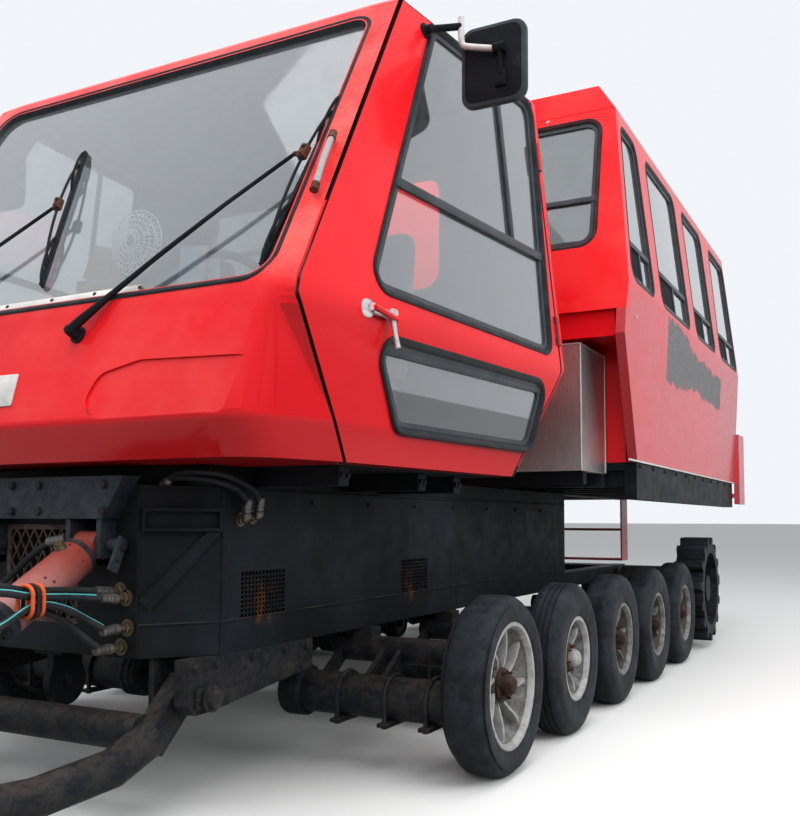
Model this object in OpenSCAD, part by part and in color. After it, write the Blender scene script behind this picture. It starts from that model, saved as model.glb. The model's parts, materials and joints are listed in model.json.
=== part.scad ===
// Passenger snowcat on its road wheels, tracks and blade taken off.
// X is across, Y runs from nose to tail, Z is up. The stations along Y are counted from the
// front road wheel's centre; the finished model is set with its origin at the middle of its length.

/* [Road wheels] */
// Outer radius of a road tyre
tyre_r = 310; // [290:5:325]
// Width of a road tyre
tyre_w = 160; // [140:5:180]
// Flange radius of the front pair's rims
front_rim_r = 219; // [200:1:225]
// Flange radius of the other rims
rim_r = 173; // [160:1:195]
// Distance between neighbouring road wheels
wheel_pitch = 745; // [700:5:780]
// Half the distance between the left and right wheel lines
half_track = 1140; // [1120:5:1180]
// Radius of a wheel spindle
spindle_r = 30; // [25:1:40]

/* [Drive sprockets] */
// Radius over the teeth
sprocket_r = 363; // [340:1:380]
// Width of the toothed tread
sprocket_w = 190; // [160:5:220]
// Teeth on a sprocket
sprocket_teeth = 15; // [13:1:17]
// Station of the sprocket axle
sprocket_y = 3830; // [3780:5:3900]
// Height of the sprocket axle
sprocket_z = 407; // [400:1:430]
// Radius of the drive shaft
shaft_r = 45; // [35:1:60]

/* [Swing axles] */
// Radius of the lower axle tube
axle_tube_r = 76; // [60:1:85]
// Lower tube ahead of the wheel centre
axle_lead = 103; // [90:1:120]
// Height of the lower tube
axle_z = 248; // [235:1:265]
// Radius of the upper axle tube
upper_tube_r = 50; // [40:1:58]
// Upper tube behind the wheel centre
upper_trail = 110; // [100:1:130]
// Height of the upper tube
upper_z = 385; // [375:1:400]
// Inner end of both axle tubes
axle_inner_x = 438; // [400:1:470]
// Radius of the rubber spring's end disc
disc_r = 88; // [80:1:95]

/* [Chassis tub] */
// Half width of the tub
tub_half_w = 570; // [540:5:600]
// Front face of the tub
tub_front_y = -985; // [-1020:5:-960]
// Rear face of the tub
tub_rear_y = 2551; // [2500:1:2650]
// Underside of the tub
tub_z = 469; // [465:1:490]
// Top of the tub
tub_top_z = 985; // [960:1:1000]
// Thickness of the tub's plates
tub_wall = 12; // [8:1:20]
// Half width of the tub's front face, between the cut corners
tub_nose_w = 405; // [380:5:430]
// Length of the cut front corners
tub_corner = 185; // [150:5:220]

/* [Cab] */
// Thickness of the cab's walls and doors
cab_wall = 40; // [30:1:50]
// Underside of the cab
cab_z = 1048; // [1040:1:1060]
// Height of the waist line where the doors are widest
waist_z = 1479; // [1450:1:1500]
// Height of the roof's edge
roof_edge_z = 2661; // [2600:1:2700]
// Half width of the cab at the waist, at the front corner
waist_front_w = 1037; // [1020:1:1050]
// Half width of the cab at the waist, at the rear
waist_rear_w = 1224; // [1200:1:1240]
// How far the roof's edge lies inside the waist
roof_inset = 128; // [100:1:150]
// Station of the front corner at the waist
waist_front_y = -1098; // [-1120:1:-1080]
// Station of the cab's rear face
cab_rear_y = 610; // [590:1:640]
// Gap round a door
door_gap = 12; // [11:1:16]
// Thickness of the window glass
glass_t = 6; // [4:1:8]

/* [Cabin] */
// Half width of the passenger cabin at the belt line
belt_w = 1347; // [1320:1:1360]
// Height of the belt line
belt_z = 1978; // [1950:1:2000]
// Height from the passenger cabin's shoulder to its roof
roof_rise = 140; // [110:5:170]
// Height of the roof
cabin_top_z = 3030; // [3010:1:3060]
// Underside of the cabin's panels
cabin_z = 1165; // [1150:1:1180]
// Front corner of the cabin at the belt line
cabin_front_y = 1122; // [1100:1:1150]
// Rear corner of the cabin at the belt line
cabin_rear_y = 4431; // [4400:1:4460]
// Thickness of the cabin's walls
cabin_wall = 45; // [35:1:55]

/* [Push frame] */
// Station of the push frame's pivot pins
pivot_y = -872; // [-890:1:-860]
// Height of the push frame's pivot pins
pivot_z = 354; // [350:1:360]
// Radius of the pivot pins
pivot_pin_r = 22; // [18:1:26]
// Radius of the push frame's pipes
pipe_r = 54; // [48:1:58]
// Front face of the push frame's mounting plate
push_front_y = -1790; // [-1850:1:-1750]
// Distance of each lift cylinder from the middle
lift_x = 240; // [220:1:260]
// Station of a lift cylinder's upper pin
lift_top_y = -1006; // [-1020:1:-990]
// Height of a lift cylinder's upper pin
lift_top_z = 804; // [790:1:815]
// Station of a lift cylinder's lower pin
lift_low_y = -1540; // [-1560:1:-1520]
// Height of a lift cylinder's lower pin
lift_low_z = 480; // [460:1:490]
// Radius of a lift cylinder's barrel
barrel_r = 58; // [50:1:62]
// Radius of a lift cylinder's rod
rod_r = 28; // [22:1:32]
// Radius of a lift cylinder's pins
lift_pin_r = 18; // [14:1:22]

/* [Hidden] */
shoulder_z = cabin_top_z - roof_rise;
over_top_z = cabin_top_z + 70;

LEFT = 1;
RIGHT = -1;
WHEELS = [1, 2, 3, 4, 5];
fit_gap = 0.3;
pin_play = 0.05;
step_reach = 259;
rear_reach_y = cabin_rear_y + step_reach;
mid_y = (push_front_y + rear_reach_y) / 2;
red = [0.86, 0.06, 0.08];
faded_red = [0.80, 0.16, 0.20];
black_steel = [0.09, 0.09, 0.10];
rust = [0.33, 0.20, 0.14];
rubber = [0.12, 0.12, 0.13];
alloy = [0.68, 0.68, 0.69];
pane = [0.55, 0.62, 0.66, 0.45];
hose_black = [0.06, 0.06, 0.07];

$fn = 64;

// Placement helpers
module from_middle() translate([0, -mid_y, 0]) children();

module on_side(side) {
    if (side == LEFT) children();
    else mirror([1, 0, 0]) children();
}

module both_sides() {
    children();
    mirror([1, 0, 0]) children();
}

// Box between two corners
module block(low, high) translate(low) cube(high - low);

// Round bar between two points
module bar(p, q, r) {
    run = q - p;
    length = norm(run);
    translate(p)
        rotate([0, acos(run[2] / length), atan2(run[1], run[0])])
            cylinder(h = length, r = r);
}

// Bent pipe through a list of points
module pipe(points, r) {
    for (i = [1 : len(points) - 1]) bar(points[i - 1], points[i], r);
    for (i = [1 : len(points) - 2]) translate(points[i]) sphere(r = r + 0.5);
}

// Cylinder along X
module disc_x(x0, x1, y, z, r) translate([x0, y, z]) rotate([0, 90, 0]) cylinder(h = x1 - x0, r = r);

// Flat bar in a plane across X, between two [y, z] centres
module link_x(x0, x1, p, q, half_w) {
    run = q - p;
    translate([x0, p[0], p[1]])
        rotate([atan2(run[1], run[0]), 0, 0])
            translate([0, -half_w, -half_w])
                cube([x1 - x0, norm(run) + 2 * half_w, 2 * half_w]);
}

// Plate outlined in Y and Z, standing across X
module plate_x(x0, x1, outline)
    translate([x0, 0, 0]) rotate([90, 0, 90]) linear_extrude(x1 - x0) polygon(outline);

// Solid through rings of points that lie one above another
module loft(rings) {
    n = len(rings[0]);
    levels = len(rings);
    points = [for (ring = rings, p = ring) p];
    sides = [for (k = [0 : levels - 2], i = [0 : n - 1])
        let (j = (i + 1) % n, a = k * n + i, b = k * n + j)
        [[a, a + n, b], [b, a + n, b + n]]];
    polyhedron(points, concat(
        [[for (i = [0 : n - 1]) i]],
        [for (pair = sides, face = pair) face],
        [[for (i = [n - 1 : -1 : 0]) (levels - 1) * n + i]]));
}

function unit(v) = v / norm(v);

// Smooth curve through a route's points
route_steps = 3;
function on_curve(a, b, c, d, t) = 0.5 * (2 * b + (c - a) * t + (2 * a - 5 * b + 4 * c - d) * t * t
    + (3 * b - a - 3 * c + d) * t * t * t);

function smooth_route(points) = let (last = len(points) - 1)
    concat([for (i = [0 : last - 1], k = [0 : route_steps - 1])
        on_curve(points[max(i - 1, 0)], points[i], points[i + 1], points[min(i + 2, last)], k / route_steps)],
        [points[last]]);

// Hose along a route that never runs straight across
hose_sides = 10;
module hose(points, r) {
    path = smooth_route(points);
    last = len(path) - 1;
    loft([for (i = [0 : last]) let (
        along = unit(path[min(i + 1, last)] - path[max(i - 1, 0)]),
        u = unit([1, 0, 0] - along * along[0]), v = cross(along, u))
        [for (k = [0 : hose_sides - 1]) let (a = 360 * k / hose_sides)
            path[i] + r * (cos(a) * u + sin(a) * v)]]);
}

function turned_left(v) = [-v[1], v[0]];

// Corners of an anticlockwise outline, all its edges moved inwards by a distance
function shrink(points, d) = [for (i = [0 : len(points) - 1])
    let (n = len(points), p = points[i],
         a = turned_left(unit(p - points[(i + n - 1) % n])),
         b = turned_left(unit(points[(i + 1) % n] - p)))
    p + (a + b) * d / (1 + a * b)];

// Anticlockwise outline with its corners rounded
corner_steps = 6;
function soften(points, r) = [for (i = [0 : len(points) - 1])
    let (n = len(points), p = points[i],
         u = unit(points[(i + n - 1) % n] - p), v = unit(points[(i + 1) % n] - p),
         half = acos(u * v) / 2, centre = p + unit(u + v) * r / sin(half),
         start = p + u * r / tan(half) - centre, sweep = 180 - 2 * half)
    for (k = [0 : corner_steps]) let (t = sweep * k / corner_steps)
    centre + [start[0] * cos(t) - start[1] * sin(t), start[0] * sin(t) + start[1] * cos(t)]];

// Window outline, made smaller on every edge by an inset
module window(points, r, inset) polygon(soften(shrink(points, inset), r - inset));

function rectangle(x0, x1, y0, y1) = [[x0, y0], [x1, y0], [x1, y1], [x0, y1]];

// Road wheels
bead_inset = 20;
flange_t = 9;

module tyre_profile(flange_r) {
    half = tyre_w / 2;
    bead = half - bead_inset - fit_gap;
    side = flange_r + fit_gap;
    edge = half - bead_inset + flange_t;
    seat = flange_r - rim_depth + fit_gap;
    mid = (flange_r + tyre_r) / 2;
    polygon([
        [seat, -bead], [side, -bead], [side, -edge], [mid, -half],
        [tyre_r - 30, -half + 8], [tyre_r - 9, -half + 22], [tyre_r, -half + 42],
        [tyre_r, half - 42], [tyre_r - 9, half - 22], [tyre_r - 30, half - 8],
        [mid, half], [side, edge], [side, bead], [seat, bead]]);
}

hub_r = 58;
hub_outer = 52;
hub_inner = -66;
cap_r = 38;
cap_reach = 58;
rim_depth = 10;

spoke_low = 2;
spoke_h = 40;

// Spoke that flares towards the hub and the rim
function spoke_outline(inner, outer) = let (mid = (inner + outer) / 2)
    [[inner, -20], [mid, -11], [outer, -30], [outer, 30], [mid, 11], [inner, 20]];

module rim(flange_r, spokes) {
    seat_r = flange_r - rim_depth;
    bead = tyre_w / 2 - bead_inset;
    difference() {
        union() {
            rotate_extrude() polygon([
                [seat_r - 12, -bead], [seat_r, -bead], [seat_r, bead], [seat_r - 12, bead]]);
            for (end = [-1, 1])
                rotate_extrude() polygon([
                    [seat_r - 12, end * bead], [flange_r, end * bead],
                    [flange_r, end * (bead + flange_t)], [seat_r - 12, end * (bead + flange_t)]]);
            translate([0, 0, hub_inner]) cylinder(h = hub_outer - hub_inner, r = hub_r);
            cylinder(h = cap_reach, r = cap_r);
            for (i = [0 : spokes - 1])
                rotate([0, 0, i * 360 / spokes])
                    translate([0, 0, spoke_low]) linear_extrude(spoke_h)
                        polygon(spoke_outline(hub_r - 6, seat_r - 6));
        }
        translate([0, 0, hub_inner - 1]) cylinder(h = spindle_end - hub_inner + 1, r = spindle_r + pin_play);
    }
}

spindle_end = 30;

module road_wheel(side, place) {
    flange_r = place == 1 ? front_rim_r : rim_r;
    on_side(side)
        translate([half_track, (place - 1) * wheel_pitch, tyre_r])
            rotate([0, 90, 0]) {
                color(rubber) rotate_extrude() tyre_profile(flange_r);
                color(alloy) rim(flange_r, place == 1 ? 8 : 6);
            }
}

// Drive sprockets
tooth_depth = 52;
tooth_w = 70;
drum_wall = 60;
boss_r = 90;

module sprocket(side) {
    root_r = sprocket_r - tooth_depth;
    on_side(side)
        translate([half_track - sprocket_w / 2 - 14, sprocket_y, sprocket_z])
            rotate([0, 90, 0]) color(rubber) difference() {
                union() {
                    difference() {
                        cylinder(h = sprocket_w, r = root_r);
                        translate([0, 0, -1]) cylinder(h = sprocket_w + 2, r = root_r - drum_wall);
                    }
                    translate([0, 0, sprocket_w / 2 - 12]) cylinder(h = 24, r = root_r - drum_wall + 4);
                    cylinder(h = sprocket_w - 20, r = boss_r);
                    for (i = [0 : sprocket_teeth - 1])
                        rotate([0, 0, i * 360 / sprocket_teeth])
                            translate([root_r - 6, 0, 0]) rotate([0, 0, 0])
                                linear_extrude(sprocket_w) polygon([
                                    [0, -tooth_w / 2], [tooth_depth + 4, -tooth_w / 2 + 14],
                                    [tooth_depth + 4, tooth_w / 2 - 14], [0, tooth_w / 2]]);
                }
                translate([0, 0, -1]) cylinder(h = sprocket_w - 39, r = shaft_r + pin_play);
            }
}

// Chassis
module tub_outline(inset) {
    w = tub_half_w - inset;
    n = tub_nose_w - inset * 0.6;
    f = tub_front_y + inset;
    c = tub_corner - inset * 0.4;
    polygon([[n, f], [w, f + c], [w, tub_rear_y - inset], [-w, tub_rear_y - inset], [-w, f + c], [-n, f]]);
}

grille_half_w = 160;
grille_low = 560;
grille_high = 865;
vent_y = [-702, 382];
vent_w = 240;
vent_z = 574;
vent_h = 142;

module chassis_tub() color(black_steel) difference() {
    translate([0, 0, tub_z]) linear_extrude(tub_top_z - tub_z) tub_outline(0);
    translate([0, 0, tub_z + tub_wall]) linear_extrude(tub_top_z - tub_z) tub_outline(tub_wall);
    block([-grille_half_w, tub_front_y - 1, grille_low], [grille_half_w, tub_front_y + tub_wall + 1, grille_high]);
    both_sides() block([lift_x - bracket_half_w - fit_gap, tub_front_y - 1, lift_top_z - 60],
        [lift_x + bracket_half_w + fit_gap, tub_front_y + tub_wall + 1, beam_low]);
    for (y = vent_y) block([-tub_half_w - 1, y, vent_z], [tub_half_w + 1, y + vent_w, vent_z + vent_h]);
}

// Frame of a cut corner: along the face from the front plate, up, and out of it
module on_tub_corner() both_sides() translate([tub_nose_w, tub_front_y, 0])
    rotate([0, 0, atan2(tub_corner, tub_half_w - tub_nose_w)]) rotate([90, 0, 0]) children();

corner_length = norm([tub_corner, tub_half_w - tub_nose_w]);
tray_low = 846;
tray_high = 915;

module corner_braces() color(black_steel) on_tub_corner() {
    translate([0, 0, fit_gap]) linear_extrude(20)
        polygon([[2, 640], [34, 612], [corner_length - 4, tray_low - 1], [corner_length - 48, tray_low - 1]]);
    translate([0, 0, fit_gap]) linear_extrude(34) difference() {
        polygon(rectangle(6, corner_length - 6, tray_low, tray_high));
        polygon(rectangle(14, corner_length - 14, tray_low + 9, tray_high - 9));
    }
}

tow_y = -880;
tow_z = 360;
tow_pin_r = 20;

module tow_lug() color(black_steel) difference() {
    union() {
        disc_x(-14, 14, tow_y, tow_z, 76);
        block([-14, tow_y - 60, tow_z], [14, tow_y + 60, tub_z - fit_gap]);
        block([-60, tow_y - 70, tub_z - 16], [60, tow_y + 70, tub_z - fit_gap]);
    }
    disc_x(-20, 20, tow_y, tow_z, tow_pin_r);
}

module engine_block() color([0.25, 0.26, 0.27])
    block([-330, -620, tub_z + tub_wall], [330, 560, tub_top_z - 30]);

beam_low = 883;
beam_high = 1010;

beam_depth = 70;
bracket_half_w = 72;
bracket_t = 18;
rod_eye_half_w = 38;
lock_plate_x = lift_x + 116;

module front_crossbeam() color(black_steel) {
    y0 = tub_front_y - beam_depth;
    y1 = tub_front_y;
    translate([0, y1, 0]) rotate([90, 0, 0]) linear_extrude(beam_depth)
        polygon([[-405, beam_high], [405, beam_high], [325, beam_low], [-325, beam_low]]);
    both_sides() {
        for (x = [lift_x - bracket_half_w, lift_x + bracket_half_w - bracket_t])
            plate_x(x, x + bracket_t, [
                [y0 + 8, beam_low + 5], [y0 + 8, lift_top_z - 38], [lift_top_y + 32, lift_top_z - 38],
                [lift_top_y + 46, lift_top_z - 20], [lift_top_y + 46, beam_low], [y1, beam_low],
                [y1, beam_low + 5]]);
        disc_x(lift_x - bracket_half_w - 8, lock_plate_x + 8, lift_top_y, lift_top_z, lift_pin_r);
        disc_x(lift_x + bracket_half_w, lock_plate_x, lift_top_y, lift_top_z, lift_pin_r + 2);
        link_x(lock_plate_x - 1, lock_plate_x + 10, [lift_top_y - 34, lift_top_z - 60], [lift_top_y - 4, lift_top_z + 6], 17);
    }
}

module front_grille() color([0.16, 0.15, 0.14]) {
    w = grille_half_w - fit_gap;
    low = grille_low + fit_gap;
    high = grille_high - fit_gap;
    y0 = tub_front_y;
    translate([0, y0 + 8, 0]) rotate([90, 0, 0]) linear_extrude(8) difference() {
        translate([-w, low]) square([2 * w, high - low]);
        translate([-w + 16, low + 16]) square([2 * w - 32, high - low - 32]);
    }
    for (lean = [-30, 30])
        intersection() {
            block([-w + 8, y0 + 1, low + 8], [w - 8, y0 + 7, high - 8]);
            for (i = [-7 : 7])
                translate([i * 40, y0 + 4, (low + high) / 2]) rotate([0, lean, 0])
                    cube([5, 5, 500], center = true);
        }
}

rail_x0 = 512;
rail_x1 = 570;
rail_rear_y = -290;

module lower_rails() both_sides() {
    color(rust) plate_x(rail_x0, rail_x1, [
        [pivot_y - 70, tub_z - fit_gap], [pivot_y - 70, pivot_z - 20], [pivot_y - 46, pivot_z - 46],
        [pivot_y + 30, pivot_z - 46], [pivot_y + 330, pivot_z - 14], [rail_rear_y, pivot_z + 14],
        [rail_rear_y, tub_z - fit_gap]]);
    color(black_steel) plate_x(405, 425, [
        [pivot_y - 60, tub_z - fit_gap], [pivot_y - 60, pivot_z - 40], [pivot_y + 60, pivot_z - 40],
        [pivot_y + 60, tub_z - fit_gap]]);
    color(alloy) disc_x(400, rail_x1 + 26, pivot_y, pivot_z, pivot_pin_r);
}

spindle_inner = hub_inner - 60;

module swing_axle(place) {
    y = (place - 1) * wheel_pitch;
    lower = [y - axle_lead, axle_z];
    upper = [y + upper_trail, upper_z];
    hub_x = half_track + hub_inner;
    disc_x(axle_inner_x, hub_x - 20, lower[0], lower[1], axle_tube_r);
    disc_x(axle_inner_x - 80, axle_inner_x, lower[0], lower[1], disc_r);
    disc_x(axle_inner_x, hub_x - 120, upper[0], upper[1], upper_tube_r);
    link_x(axle_inner_x + 20, axle_inner_x + 42, lower, upper, 26);
    for (x = [650, 720]) link_x(x, x + 20, lower, upper, 34);
    link_x(hub_x - 70, hub_x - 30, lower, upper, 46);
    disc_x(hub_x - 40, half_track + spindle_end - 4, y, tyre_r, spindle_r);
    block([520, upper[0] - 40, upper_z], [600, upper[0] + 40, tub_z - fit_gap]);
}

module swing_axles() color(rust) both_sides() for (place = WHEELS) swing_axle(place);

rear_rail_h = 90;
rear_end_y = sprocket_y + 170;

module rear_frame() color(black_steel) {
    both_sides() block([470, tub_rear_y + fit_gap, tub_z], [570, rear_end_y, tub_z + rear_rail_h]);
    block([-470, sprocket_y - 120, tub_z], [470, sprocket_y + 120, tub_z + rear_rail_h]);
    both_sides() block([470, sprocket_y - 120, 300], [600, sprocket_y + 120, tub_z]);
}

module final_drives() color(black_steel) both_sides() {
    disc_x(600 + fit_gap, half_track - sprocket_w / 2 - 30, sprocket_y, sprocket_z, 150);
    disc_x(half_track - sprocket_w / 2 - 31, half_track + sprocket_w / 2 - 60, sprocket_y, sprocket_z, shaft_r);
}

deck_z = tub_top_z + fit_gap;
deck_top = cab_z - fit_gap;

outrigger_y = [-660, -120, 180];

module cab_deck() color(black_steel) {
    block([-tub_half_w, tub_front_y + 120, deck_z], [tub_half_w, tub_rear_y, deck_top]);
    for (y = outrigger_y) block([-900, y, deck_z], [900, y + 60, deck_top]);
}

// Aluminium box between cab and cabin
module storage_box() color([0.72, 0.71, 0.70]) both_sides()
    block([640, 1043, 1112], [belt_w - 207, 1440, 1690]);

// Cab outline by height: the front corner's inner edge, its outer edge beside the door, and the
// rear corner, each as half width and station
lip_z = 1155;
screen_low_z = 1529;
screen_high_z = roof_edge_z - 61;
crown_z = roof_edge_z + 50;
screen_back = 668;
cab_rows = [
    [cab_z, 905, waist_front_y - 32, waist_front_w - 36, waist_front_y + 306, waist_rear_w - 105, cab_rear_y - 299],
    [lip_z, 925, waist_front_y - 92, waist_front_w - 22, waist_front_y + 228, waist_rear_w - 80, cab_rear_y - 230],
    [waist_z, 952, waist_front_y - 8, waist_front_w, waist_front_y, waist_rear_w, cab_rear_y - 10],
    [screen_low_z, 950, waist_front_y, waist_front_w - 5, waist_front_y + 18, waist_rear_w - 6, cab_rear_y - 8],
    [screen_high_z, 897, waist_front_y + screen_back, waist_front_w - 57, waist_front_y + screen_back + 5,
        waist_rear_w - roof_inset + 7, cab_rear_y],
    [roof_edge_z, 885, waist_front_y + screen_back + 38, waist_front_w - 62, waist_front_y + screen_back + 44,
        waist_rear_w - roof_inset, cab_rear_y],
    [crown_z, 740, waist_front_y + screen_back + 180, 810, waist_front_y + screen_back + 200,
        waist_rear_w - roof_inset - 150, cab_rear_y - 60]];

function cab_row(z) = let (
    k = max([for (i = [0 : len(cab_rows) - 2]) if (i == 0 || cab_rows[i][0] <= z) i]),
    low = cab_rows[k], high = cab_rows[k + 1])
    low + (high - low) * (z - low[0]) / (high[0] - low[0]);

// The same outline with the creases between its rows rounded
crease_r = 30;
function soft_row(z) = let (h = min(z < lip_z + 50 ? crease_r / 2 : crease_r, z - cab_z, crown_z - z))
    (cab_row(z - h) + cab_row(z - h / 2) + cab_row(z) + cab_row(z + h / 2) + cab_row(z + h)) / 5;

blend_steps = 4;
function blend_corner(p, q, r, d) = let (a = q + unit(p - q) * d, b = q + unit(r - q) * d)
    [for (k = [0 : blend_steps]) let (t = k / blend_steps) a * (1 - t) * (1 - t) + q * 2 * t * (1 - t) + b * t * t];

function nose_round(z) = z < lip_z ? 120
    : z < screen_low_z ? 120 - 106 * (z - lip_z) / (screen_low_z - lip_z)
    : z < roof_edge_z - 30 ? 14 : 30;

function rear_round(z) = z < waist_z ? 70 : 45;

function cab_ring(z, level, inset) =
    let (row = soft_row(level),
         a = [row[1] - inset, row[2] + inset], b = [row[3] - inset, row[4] + inset],
         c = [row[5] - inset, row[6] - inset],
         half = concat(blend_corner([0, a[1]], a, b, nose_round(level)), [b],
             blend_corner(b, c, [0, c[1]], rear_round(level))))
    concat([for (p = half) [p[0], p[1], z]], [for (i = [len(half) - 1 : -1 : 0]) [-half[i][0], half[i][1], z]]);

cab_stations = [cab_z, lip_z - 15, lip_z, lip_z + 15, waist_z - 30, waist_z - 10, waist_z + 10, waist_z + 30,
    screen_low_z, screen_low_z + 30, screen_high_z - 30, screen_high_z, screen_high_z + 30, roof_edge_z - 12,
    roof_edge_z, roof_edge_z + 14, roof_edge_z + 30, crown_z];

module cab_solid() loft([for (z = cab_stations) cab_ring(z, z, 0)]);

module cab_hollow() loft([for (z = cab_stations)
    cab_ring(z == cab_z ? cab_z + cab_wall : z == crown_z ? crown_z - cab_wall : z == roof_edge_z + 30 ? z - 25 : z == roof_edge_z + 14 ? z - 12 : z, z, cab_wall)]);

module cab_shell() difference() {
    cab_solid();
    cab_hollow();
}

door_top_z = roof_edge_z - 28;
door_rear_y = cab_rear_y - 75;

function door_rear(z) = min(door_rear_y, cab_row(z)[6] - 60);

// Space that a door takes: it meets the front corner on a mitre and ends ahead of the rear corner
door_heights = [cab_z, lip_z, waist_z, screen_low_z, door_top_z];
mitre = 300;
door_depth = 70;

function door_ring(z, level, margin) =
    let (row = cab_row(level), m = margin / sqrt(2), x = row[3] - m, y = row[4] - m,
         back = door_rear(level) + margin,
         side_x = row[3] + (row[5] - row[3]) * (back - row[4]) / (row[6] - row[4]))
    [[x + mitre, y - mitre, z], [1600, y - mitre, z], [1600, back, z],
     [side_x - door_depth - margin, back, z], [x - door_depth, y + door_depth, z]];

function door_height(z, margin) = z == door_top_z ? z + margin : z;

module door_space(margin) loft(concat(
    [door_ring(cab_z - 60, cab_z, margin)],
    [for (z = door_heights) door_ring(door_height(z, margin), z, margin)]));

// Plane of a door's upper part, from its two slopes
door_turn = -atan2(waist_rear_w - waist_front_w, cab_rear_y - 10 - waist_front_y);
door_lean = -atan2(roof_inset, roof_edge_z - waist_z);
lower_door_lean = 7;

// Outlines on a door run along the waist from its front corner, and up from the waist
module on_upper_door() translate([waist_front_w, waist_front_y, waist_z])
    rotate([0, 0, door_turn]) rotate([0, door_lean, 0]) rotate([90, 0, 90]) children();

module on_lower_door() translate([waist_front_w, waist_front_y, waist_z])
    rotate([0, 0, door_turn]) rotate([0, lower_door_lean, 0]) rotate([90, 0, 90]) children();

upper_window = [[341, 87], [1564, 66], [1632, 1144], [875, 1143]];
lower_window = [[529, -325], [1435, -325], [1521, -61], [366, -57]];
door_window_r = 60;
door_glass_depth = 18;

module door_windows(depth, thick, inset) {
    on_upper_door() translate([0, 0, depth]) linear_extrude(thick) window(upper_window, door_window_r, inset);
    on_lower_door() translate([0, 0, depth]) linear_extrude(thick) window(lower_window, door_window_r, inset);
}

// Door hinges, on the door's rear edge
hinge_r = 13;
hinge_pin_r = 7;
hinge_spots = [140, 880];
door_knuckle = 60;
post_knuckle = 28;
hinge_tilt = -atan2(roof_inset - 7, screen_high_z - waist_z);

module on_door_hinge() translate([waist_rear_w - 6, door_rear_y, waist_z]) rotate([0, hinge_tilt, 0])
    for (spot = hinge_spots) translate([0, 0, spot]) children();

module post_knuckles(r, ends) for (z = [-post_knuckle - 1, door_knuckle + 1])
    translate([0, 0, z - ends]) cylinder(h = post_knuckle + 2 * ends, r = r);

handle_y = waist_front_y + 314;

module door_handle() {
    bar([waist_front_w + 10, handle_y, waist_z + 12], [waist_front_w + 66, handle_y, waist_z + 12], 9);
    bar([waist_front_w + 60, handle_y - 6, waist_z + 12], [waist_front_w + 68, handle_y + 112, waist_z - 4], 9);
}

module door(side) color(red) on_side(side) difference() {
    union() {
        difference() {
            intersection() {
                cab_shell();
                door_space(-door_gap / 2);
            }
            door_windows(-120, 200, 0);
            on_door_hinge() post_knuckles(hinge_r + 6, 1);
        }
        on_door_hinge() cylinder(h = door_knuckle, r = hinge_r);
        door_handle();
    }
    on_door_hinge() translate([0, 0, -1]) cylinder(h = door_knuckle + 2, r = hinge_pin_r + pin_play);
}

module door_glass(side) color(pane) on_side(side) door_windows(-door_glass_depth - glass_t, glass_t, fit_gap);

roof_split_z = 2625;
rear_split = door_gap / 2 + 2;

windshield = [[-928, 18], [928, 18], [878, 1236], [-878, 1236]];
windshield_r = 75;
windshield_lean = atan2(screen_back, screen_high_z - screen_low_z);

module on_windshield() translate([0, waist_front_y, screen_low_z]) rotate([90 - windshield_lean, 0, 0]) children();

// Arched panels pressed into the nose
nose_lean = atan2(84, waist_z - lip_z);
nose_panel = [[330, 8], [1100, 8], [905, 165], [546, 178], [402, 146]];
press_depth = 7;

module cab_front_shell() color(red) difference() {
    intersection() {
        cab_shell();
        block([-1300, -1400, cab_z], [1300, 0, roof_split_z]);
    }
    both_sides() door_space(door_gap / 2);
    on_windshield() translate([0, 0, -150]) linear_extrude(300) window(windshield, windshield_r, 0);
    both_sides() translate([0, waist_front_y - 92, lip_z]) rotate([90 - nose_lean, 0, 0])
        translate([0, 0, -press_depth]) linear_extrude(50) window(nose_panel, 60, 0);
    block([-1300, -700, cab_z - 1], [1300, 900, cab_z + cab_wall + fit_gap]);
}

module windshield() color(pane)
    on_windshield() translate([0, 0, -20 - glass_t]) linear_extrude(glass_t) window(windshield, windshield_r, fit_gap);

module cab_roof() color(red) {
    difference() {
        intersection() {
            cab_shell();
            block([-1300, -1400, roof_split_z + fit_gap], [1300, door_rear_y + rear_split - fit_gap, 2900]);
        }
        both_sides() door_space(door_gap / 2);
    }
}

module cab_rear_wall() color(red) {
    difference() {
        intersection() {
            cab_shell();
            plate_x(-1300, 1300, concat(
                [for (z = [cab_z + cab_wall + fit_gap, lip_z, waist_z]) [door_rear(z) + rear_split, z]],
                [[door_rear_y + rear_split, 2900], [900, 2900], [900, cab_z + cab_wall + fit_gap]]));
        }
        translate([0, cab_rear_y - 100, 0]) rotate([90, 0, 180]) translate([0, 0, -50]) linear_extrude(300)
            window(rectangle(-650, 650, 1900, 2400), 80, 0);
        both_sides() on_door_hinge() translate([0, 0, -1]) cylinder(h = door_knuckle + 2, r = hinge_r + 6);
    }
    both_sides() on_door_hinge() {
        post_knuckles(hinge_r, 0);
        translate([0, 0, -post_knuckle - 1]) cylinder(h = door_knuckle + 2 * post_knuckle + 2, r = hinge_pin_r);
    }
}

module cab_floor() color(black_steel) intersection() {
    difference() {
        cab_solid();
        both_sides() door_space(door_gap / 2);
    }
    block([-1300, -700 + fit_gap, cab_z], [1300, 900, cab_z + cab_wall]);
}

cab_floor_top = cab_z + cab_wall + fit_gap;

module dashboard() color([0.2, 0.2, 0.22]) {
    plate_x(-800, 800, [[-1000, cab_floor_top], [-780, cab_floor_top], [-720, 1400], [-760, 1500], [-1030, 1500]]);
    bar([420, -760, 1450], [420, -560, 1620], 22);
    translate([420, -560, 1620]) rotate([-50, 0, 0]) rotate_extrude() translate([180, 0]) circle(r = 14);
    translate([420, -560, 1620]) rotate([-50, 0, 0]) translate([-180, -10, -6]) cube([360, 20, 12]);
}

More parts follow.
